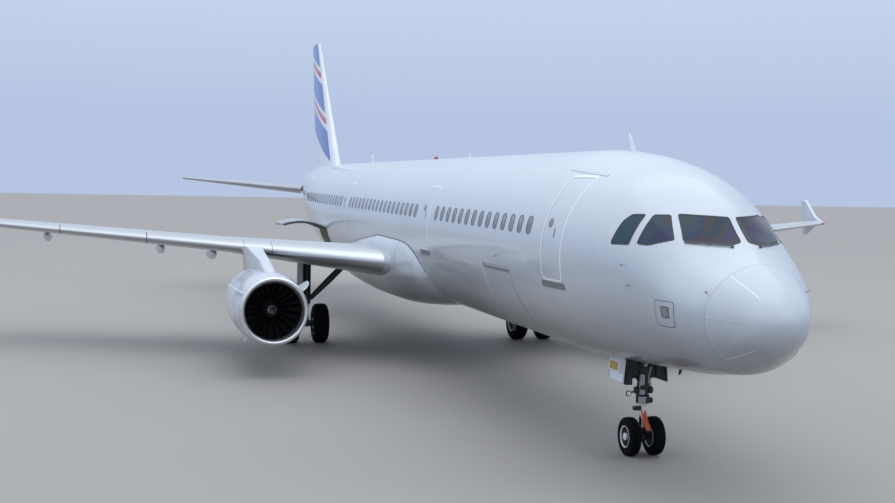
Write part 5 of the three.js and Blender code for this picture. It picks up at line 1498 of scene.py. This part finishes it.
def rudder_row(z):
    front = about_hinge(z, rudder_radius(z), np.linspace(-pi / 2, pi / 2, 15)[1:-1])
    return front + fin_faces(z, np.linspace(RUDDER["part"], 1, 12))


front_parts = 1 - np.cos(np.linspace(0, pi / 2, 24))
rudder_radii = [fin_point(RUDDER[end], RUDDER["part"], 1)[1] for end in ("low", "high")]
gap_low, gap_high = RUDDER["low"] - RUDDER_END_GAP, RUDDER["high"] + RUDDER_END_GAP
piece("fin_box", [
    through([fin_faces(z, front_parts) for z in (FIN_FOOT, gap_low)]),
    through([fin_box_row(z) for z in np.linspace(gap_low, gap_high, 5)]),
    through([fin_faces(z, front_parts) for z in (gap_high, FIN_CAP["low"])]),
    through([fin_faces(z, front_parts * FIN_CAP["part"] + FIN_CAP["shift"])
             for z in (FIN_CAP["low"], FIN_CAP["high"])]),
], [tail_paint], "airframe", "tail_paint", "fin", sharp=40)
piece("rudder_panel", [through([rudder_row(z) for z in np.linspace(RUDDER["low"], RUDDER["high"], 5)])],
      [tail_paint], "rudder", "tail_paint", "rudder", sharp=40)

# Tailplane and elevators. Both halves are one trimming surface on a pivot beam through the tail, painted silver.
# The elevators hinge along their back edge.
TAILPLANE = [
    # y, leading edge aft, chord, thickness, height
    (1.2, 38.6, 3.9, 0.1, 4.748),
    (6.225, 41.8, 1.35, 0.09, 5.15),
]
ELEVATOR = dict(inner=1.5, outer=6.225, part=0.7)
PIVOT = dict(aft=40.75, z=4.76, radius=0.11, half=1.5)
# Where the fuselage ends the tailplane, as (part of the chord, distance from the centre line).
TAIL_ROOT = np.array([(0, 1.36), (0.3, 1.19), (0.6, 1.0), (0.8, 0.875), (1, 0.75)])


def tail_rule(part, face):
    """The straight line that the skin follows spanwise at a part of the chord."""
    return [np.array([edge + part * chord, y, z + face * half_thick(part, thickness) * chord])
            for y, edge, chord, thickness, z in TAILPLANE]


def root_point(part, face):
    return where_cut(tail_rule(part, face), at_y(np.interp(part, *TAIL_ROOT.T)))


hinge_part = ELEVATOR["part"]
elevator_line = [where_cut(tail_rule(hinge_part, 0), at_y(ELEVATOR[end])) for end in ("inner", "outer")]
elevator_radii = [np.linalg.norm(where_cut(tail_rule(hinge_part, 1), at_y(end[1])) - end) for end in elevator_line]
elevator_end = 0.999 * line_way(elevator_line)[0]
tail_silver = surface("tail_silver_paint", (0.40, 0.42, 0.46), 0.36, metal=0.2, coat=0.3, mottle=0.07,
                      mottle_size=2.4, worn=(0.28, 0.29, 0.31), worn_from=0.7)
box_parts = front_parts[front_parts < hinge_part - 0.012]
box_rules = [tail_rule(part, -1) for part in box_parts[:0:-1]] + [tail_rule(part, 1) for part in box_parts]
stub_parts = np.concatenate([box_parts, np.linspace(hinge_part, 1, 8)])
stub_plane = square_ends(elevator_line)[0]
stub_root = np.array(both_faces(stub_parts, root_point))
stub_end = np.array([where_cut(rule, stub_plane) for rule in both_faces(stub_parts, tail_rule)])
shells = []
for side in (-1, 1):
    shells += [ring_shell(side, elevator_line, [radius + RUN_GAP for radius in elevator_radii],
                          (-RUN_GAP, elevator_end), np.linspace(pi / 2.1, -pi / 2.1, 13), box_rules),
               through(mirrored([stub_root, (stub_root + stub_end) / 2, stub_end], side))]
shells.append(of(bar(*([PIVOT["aft"], way * PIVOT["half"], PIVOT["z"]] for way in (-1, 1)), PIVOT["radius"]), 1))
piece("tailplane_halves", shells, [tail_silver, gear_grey], "tailplane", "silver_paint", "tailplane", sharp=40)
for side, name in SIDES:
    elevator = ring_shell(side, elevator_line, elevator_radii, (0, elevator_end),
                          np.linspace(-pi / 2, pi / 2, 13)[1:-1],
                          both_faces(np.linspace(hinge_part, 1, 10), tail_rule))
    piece("elevator_" + name + "_panel", [elevator], [tail_silver],
          "elevator_" + name, "silver_paint", "elevator_" + name, sharp=40)

# Nose fittings. Lightning strips run forward over the radome from its seam, a flat panel on each side carries the
# static ports, small probes measure the air, and two wipers are parked under the windscreens.
DIVERTERS = dict(turns=(0, 51, 129, 180, 231, 309), front=0.32, width=0.018, high=0.004)
STATIC_PANEL = (1.4, 1.87, 2.915, 3.34)
STATIC_PLATE = (1.5, 1.7, 3.06, 3.25)
STATIC_PORTS = [(1.55, 3.19), (1.65, 3.12)]
PROBES = [
    # aft, height, how far it stands off the skin
    (2.75, 3.84, 0.05),
    (2.55, 3.51, 0.07),
    (1.0, 3.53, 0.04),
    (8.26, 3.65, 0.12),
]
WIPER_PIVOT, WIPER_ARM = (0.25, 4.225), (0.6, 4.247)
WIPER_BLADE = [(0.27, 4.232), (0.45, 4.238), (0.65, 4.25), (0.87, 4.262)]
line_grey = surface("panel_outline_grey", (0.10, 0.11, 0.13), 0.5, mottle=0.1, mottle_size=15)
port_grey = surface("static_port_plate", (0.30, 0.31, 0.31), 0.4, metal=0.6, mottle=0.1, mottle_size=20)


def strip(start, end, turn, width, high):
    """A narrow raised strip that runs along the hull at one place round it."""
    aft = np.linspace(start, end, 14)
    half = width / 2 / hull_size(aft)[3]
    corners = [(-1, high), (1, high), (1, -0.004), (-1, -0.004)]
    return through(np.stack([lifted(hull_point(aft, turn + way * half), by) for way, by in corners], axis=1))


def swept(points, radius, count=8):
    """A round rod through a row of points."""
    points = np.asarray(points, float)
    return skin([revolved([(0, radius)], spot, way, count)[0]
                 for spot, way in zip(points, np.gradient(points, axis=0))])


shells = [strip(DIVERTERS["front"], RADOME_JOINT - 0.01, radians(turn), DIVERTERS["width"], DIVERTERS["high"])
          for turn in DIVERTERS["turns"]]
for side in (-1, 1):
    on, front_on = hull_side(side), nose_front(side)
    panel, ports = oblong(*STATIC_PANEL, 0.07), oblong(*STATIC_PLATE, 0.02)
    shells += [of(band(panel, inset(panel, 0.012), on, 0.001), 1), of(band(ports, inset(ports, 0.016), on, 0.002), 1),
               of(plate(inset(ports, 0.015), on, 0.002), 2)]
    shells += [of(plate(disc(*port, 0.011, 12), on, 0.004, rings=2), 1) for port in STATIC_PORTS]
    for *spot, reach in PROBES:
        foot = on(spot)
        off = lifted(foot[None], reach)[0]
        shells += [of(bar(foot, off, 0.013, 0.009, 10), 2), of(bar(off, off - 1.6 * reach * AFT, 0.009, 0.006, 10), 2)]
    foot, top = (lifted(front_on([WIPER_PIVOT]), by)[0] for by in (0.0, 0.03))
    arm_end = lifted(front_on([WIPER_ARM]), 0.036)[0]
    shells += [of(bar(foot, top, 0.028, 0.022, 12), 1), of(swept([top, arm_end], 0.009), 1),
               of(swept(lifted(front_on(WIPER_BLADE), 0.022), 0.011), 1)]
piece("nose_fittings", shells, [strip_alloy, line_grey, port_grey], "airframe", "grey_paint")

# Skin trim. A rain strip over each front door, the bonded seams of the belly fairing, the sealed joint where it
# meets the skin and the tail's exhaust ring are riveted or bonded on after the skin is closed.
RAIN_STRIP = dict(front=(4.54, 5.36), back=(6.08, 5.48), half=0.016)
FAIRING_SEAMS = (17.0, 20.1, 22.9, 25.1)
SEAM_SECTION = [(-0.005, -0.012), (-0.005, 0.0012), (0.005, 0.0012), (0.005, -0.012)]
SEAL_ENDS = (15.2, 26.9)
EXHAUST_RING = [(0, 0.17), (0.075, 0.17), (0.075, 0.15), (0.02, 0.14)]


def fairing_edge(side):
    """The line where the top of the fairing dips into the skin, from front to back."""
    spots = []
    for aft in np.linspace(*SEAL_ENDS, 90):
        ring = mirrored([fairing_ring(aft, np.linspace(-pi / 4, pi / 2, 300))], side)[0]
        outside = np.flatnonzero(off_hull(ring) > 0)
        if len(outside) and outside[-1] < len(ring) - 1:
            spots.append(ring[outside[-1]])
    return lifted(np.array(spots), 0.002)


(front, front_z), (back, back_z), half = RAIN_STRIP["front"], RAIN_STRIP["back"], RAIN_STRIP["half"]
rain_strip = rounded([(front, front_z - half), (back, back_z - half), (back, back_z + half), (front, front_z + half)],
                     0.01, 3)
shells = []
for side in (-1, 1):
    shells += [plate(rain_strip, hull_side(side), 0.01, rings=2), of(swept(fairing_edge(side), 0.011, 6), 1)]
for seam in FAIRING_SEAMS:
    shells.append(of(through([fairing_ring(seam + step, grow=grow) for step, grow in SEAM_SECTION], closed=True), 1))
shells.append(of(turned(EXHAUST_RING, [TAIL_END - 0.08, 0, hull_size(TAIL_END)[0]], AFT, 32), 1))
piece("skin_trim", shells, [plain_silver, joint_dark], "airframe", "grey_paint")

# Antennas and lamps. Blade antennas stand on the crown and under the belly, with a red beacon above and below,
# and a coloured lamp behind glass in each wing tip.
BLADES = [
    # aft, up or down, height, chord, sweep
    (5.8, 1, 0.35, 0.26, 0.22),
    (29.7, 1, 0.33, 0.28, 0.16),
    (16.8, 1, 0.12, 0.2, 0.06),
    (3.5, -1, 0.14, 0.16, 0.08),
    (12.5, -1, 0.3, 0.28, 0.14),
    (29.4, -1, 0.2, 0.24, 0.1),
]
BLADE_PROFILE = ((0, 1), (0.5, 0.725), (0.93, 0.4885), (1, 0.36))
BEACONS = [(20.45, 1), (14.2, -1)]
BEACON_FOOT, BEACON_GLASS = [(0, 0.09), (0.02, 0.085)], [(0.018, 0.065), (0.06, 0.06), (0.09, 0.04), (0.1, 0.012)]
TIP_LAMP = dict(part=0.02, inboard=0.12, ahead=0.02, glass=[(-0.1, 0.01), (-0.06, 0.035), (0.08, 0.04), (0.13, 0.02)])
beacon_red = surface("beacon_red_glass", (0.55, 0.02, 0.015), 0.12, coat=0.8, mottle=0.05, mottle_size=20)
lamp_green = surface("tip_lamp_green", (0.03, 0.30, 0.10), 0.12, coat=0.8, mottle=0.05, mottle_size=20)


def on_middle(aft, way):
    """A foot sunk into the crown line, or with way -1 into the keel line, and the direction out of the skin."""
    middle, rise, drop, *_ = hull_size(aft)
    return np.array([aft, 0, middle + (rise if way > 0 else -drop) - way * 0.01]), np.array([0, 0, float(way)])


shells = []
for aft, way, height, chord, sweep in BLADES:
    foot, out = on_middle(aft, way)
    shells.append(of(vane(foot, out, np.cross(out, AFT), height, chord, sweep, BLADE_PROFILE, 0.02, 1 / 3),
                     0 if way > 0 else 1))
for beacon in BEACONS:
    shells += [of(turned(BEACON_FOOT, *on_middle(*beacon), 24), 1),
               of(turned(BEACON_GLASS, *on_middle(*beacon), 24), 2)]
tip = where_cut(wing_rule(TIP_LAMP["part"], 0), at_y(WING_TIP - TIP_LAMP["inboard"])) - TIP_LAMP["ahead"] * AFT
for side in (-1, 1):
    shells.append(of(turned(TIP_LAMP["glass"], mirrored([tip], side)[0], [WING_SWEEP, side, 0], 16),
                     2 if side > 0 else 3))
piece("antennas_and_lamps", shells, [white_paint, gear_dark, beacon_red, lamp_green], "airframe", "grey_paint")

# Static wicks. Thin carbon rods on the trailing edges bleed charge into the air. Each row rides on the surface
# that it is screwed to.
WICK = dict(long=0.17, sunk=0.03, thick=0.006, way=np.array([1, 0, -0.06]))


def wicks(name, body, spots, side=1):
    rows = [bar(spot - WICK["sunk"] * WICK["way"], spot + WICK["long"] * WICK["way"], WICK["thick"],
                WICK["thick"] / 2, 8) for spot in mirrored(spots, side)]
    piece("static_wicks_" + name, rows, [gear_dark], body, "grey_paint")


for side, name in SIDES:
    for part_name, body, rule, places in (
            ("aileron_", "aileron_" + name, wing_rule(1, 0), (13.6, 14.6, 15.6)),
            ("wing_tip_", "airframe", wing_rule(1, 0), (16.35, 16.75)),
            ("elevator_", "elevator_" + name, tail_rule(1, 0), (3.4, 4.6, 5.8))):
        wicks(part_name + name, body, [where_cut(rule, at_y(y)) for y in places], side)
wicks("rudder", "rudder", [fin_point(z, 1, 0) for z in (8.6, 9.9, 11.2)])

# Studio. A plain pale floor under the wheels and soft light from a bright, slightly cool sky,
# with a large soft lamp overhead and a weaker one from the camera's side.
FLOOR_HALF, FLOOR_THICK = 160, 0.004
SKY = [
    # height on the dome, colour
    (0.05, (0.30, 0.36, 0.49)),
    (1.0, (0.88, 0.94, 1.0)),
]
SKY_STRENGTH = 1.55

corners = FLOOR_HALF * np.array([(-1, -1), (1, -1), (1, 1), (-1, 1)])
floor = build("floor", [skin([[(x, y, z) for x, y in corners] for z in (-FLOOR_THICK, 0)])],
              [surface("pale_floor", (0.335, 0.315, 0.295), 0.7, mottle=0.03, mottle_size=0.4)])

world = bpy.data.worlds.new("soft_sky")
bpy.context.scene.world = world
world.use_nodes = True
towards = added(world, "TexCoord", {}).outputs["Generated"]
height_in_sky = added(world, "SeparateXYZ", {"Vector": towards}).outputs["Z"]
feed(world, world.node_tree.nodes["Background"], {"Color": ramp(world, height_in_sky, SKY),
                                                  "Strength": SKY_STRENGTH})
bpy.context.scene.view_settings.view_transform = "Standard"


def soft_lamp(name, spot, target, size, power, colour):
    light = bpy.data.lights.new(name, "AREA")
    light.shape, light.size, light.energy, light.color = "DISK", size, power, colour
    lamp = shown(name, light)
    lamp.location = spot
    lamp.rotation_euler = (Vector(target) - Vector(spot)).to_track_quat("-Z", "Y").to_euler()


soft_lamp("overhead", (2, 2, 26), (0, 0, 0), 34, 1500, (0.93, 0.97, 1))
soft_lamp("camera_side", (26, -22, 14), (6, 0, 1.5), 12, 50, (1, 0.98, 0.95))
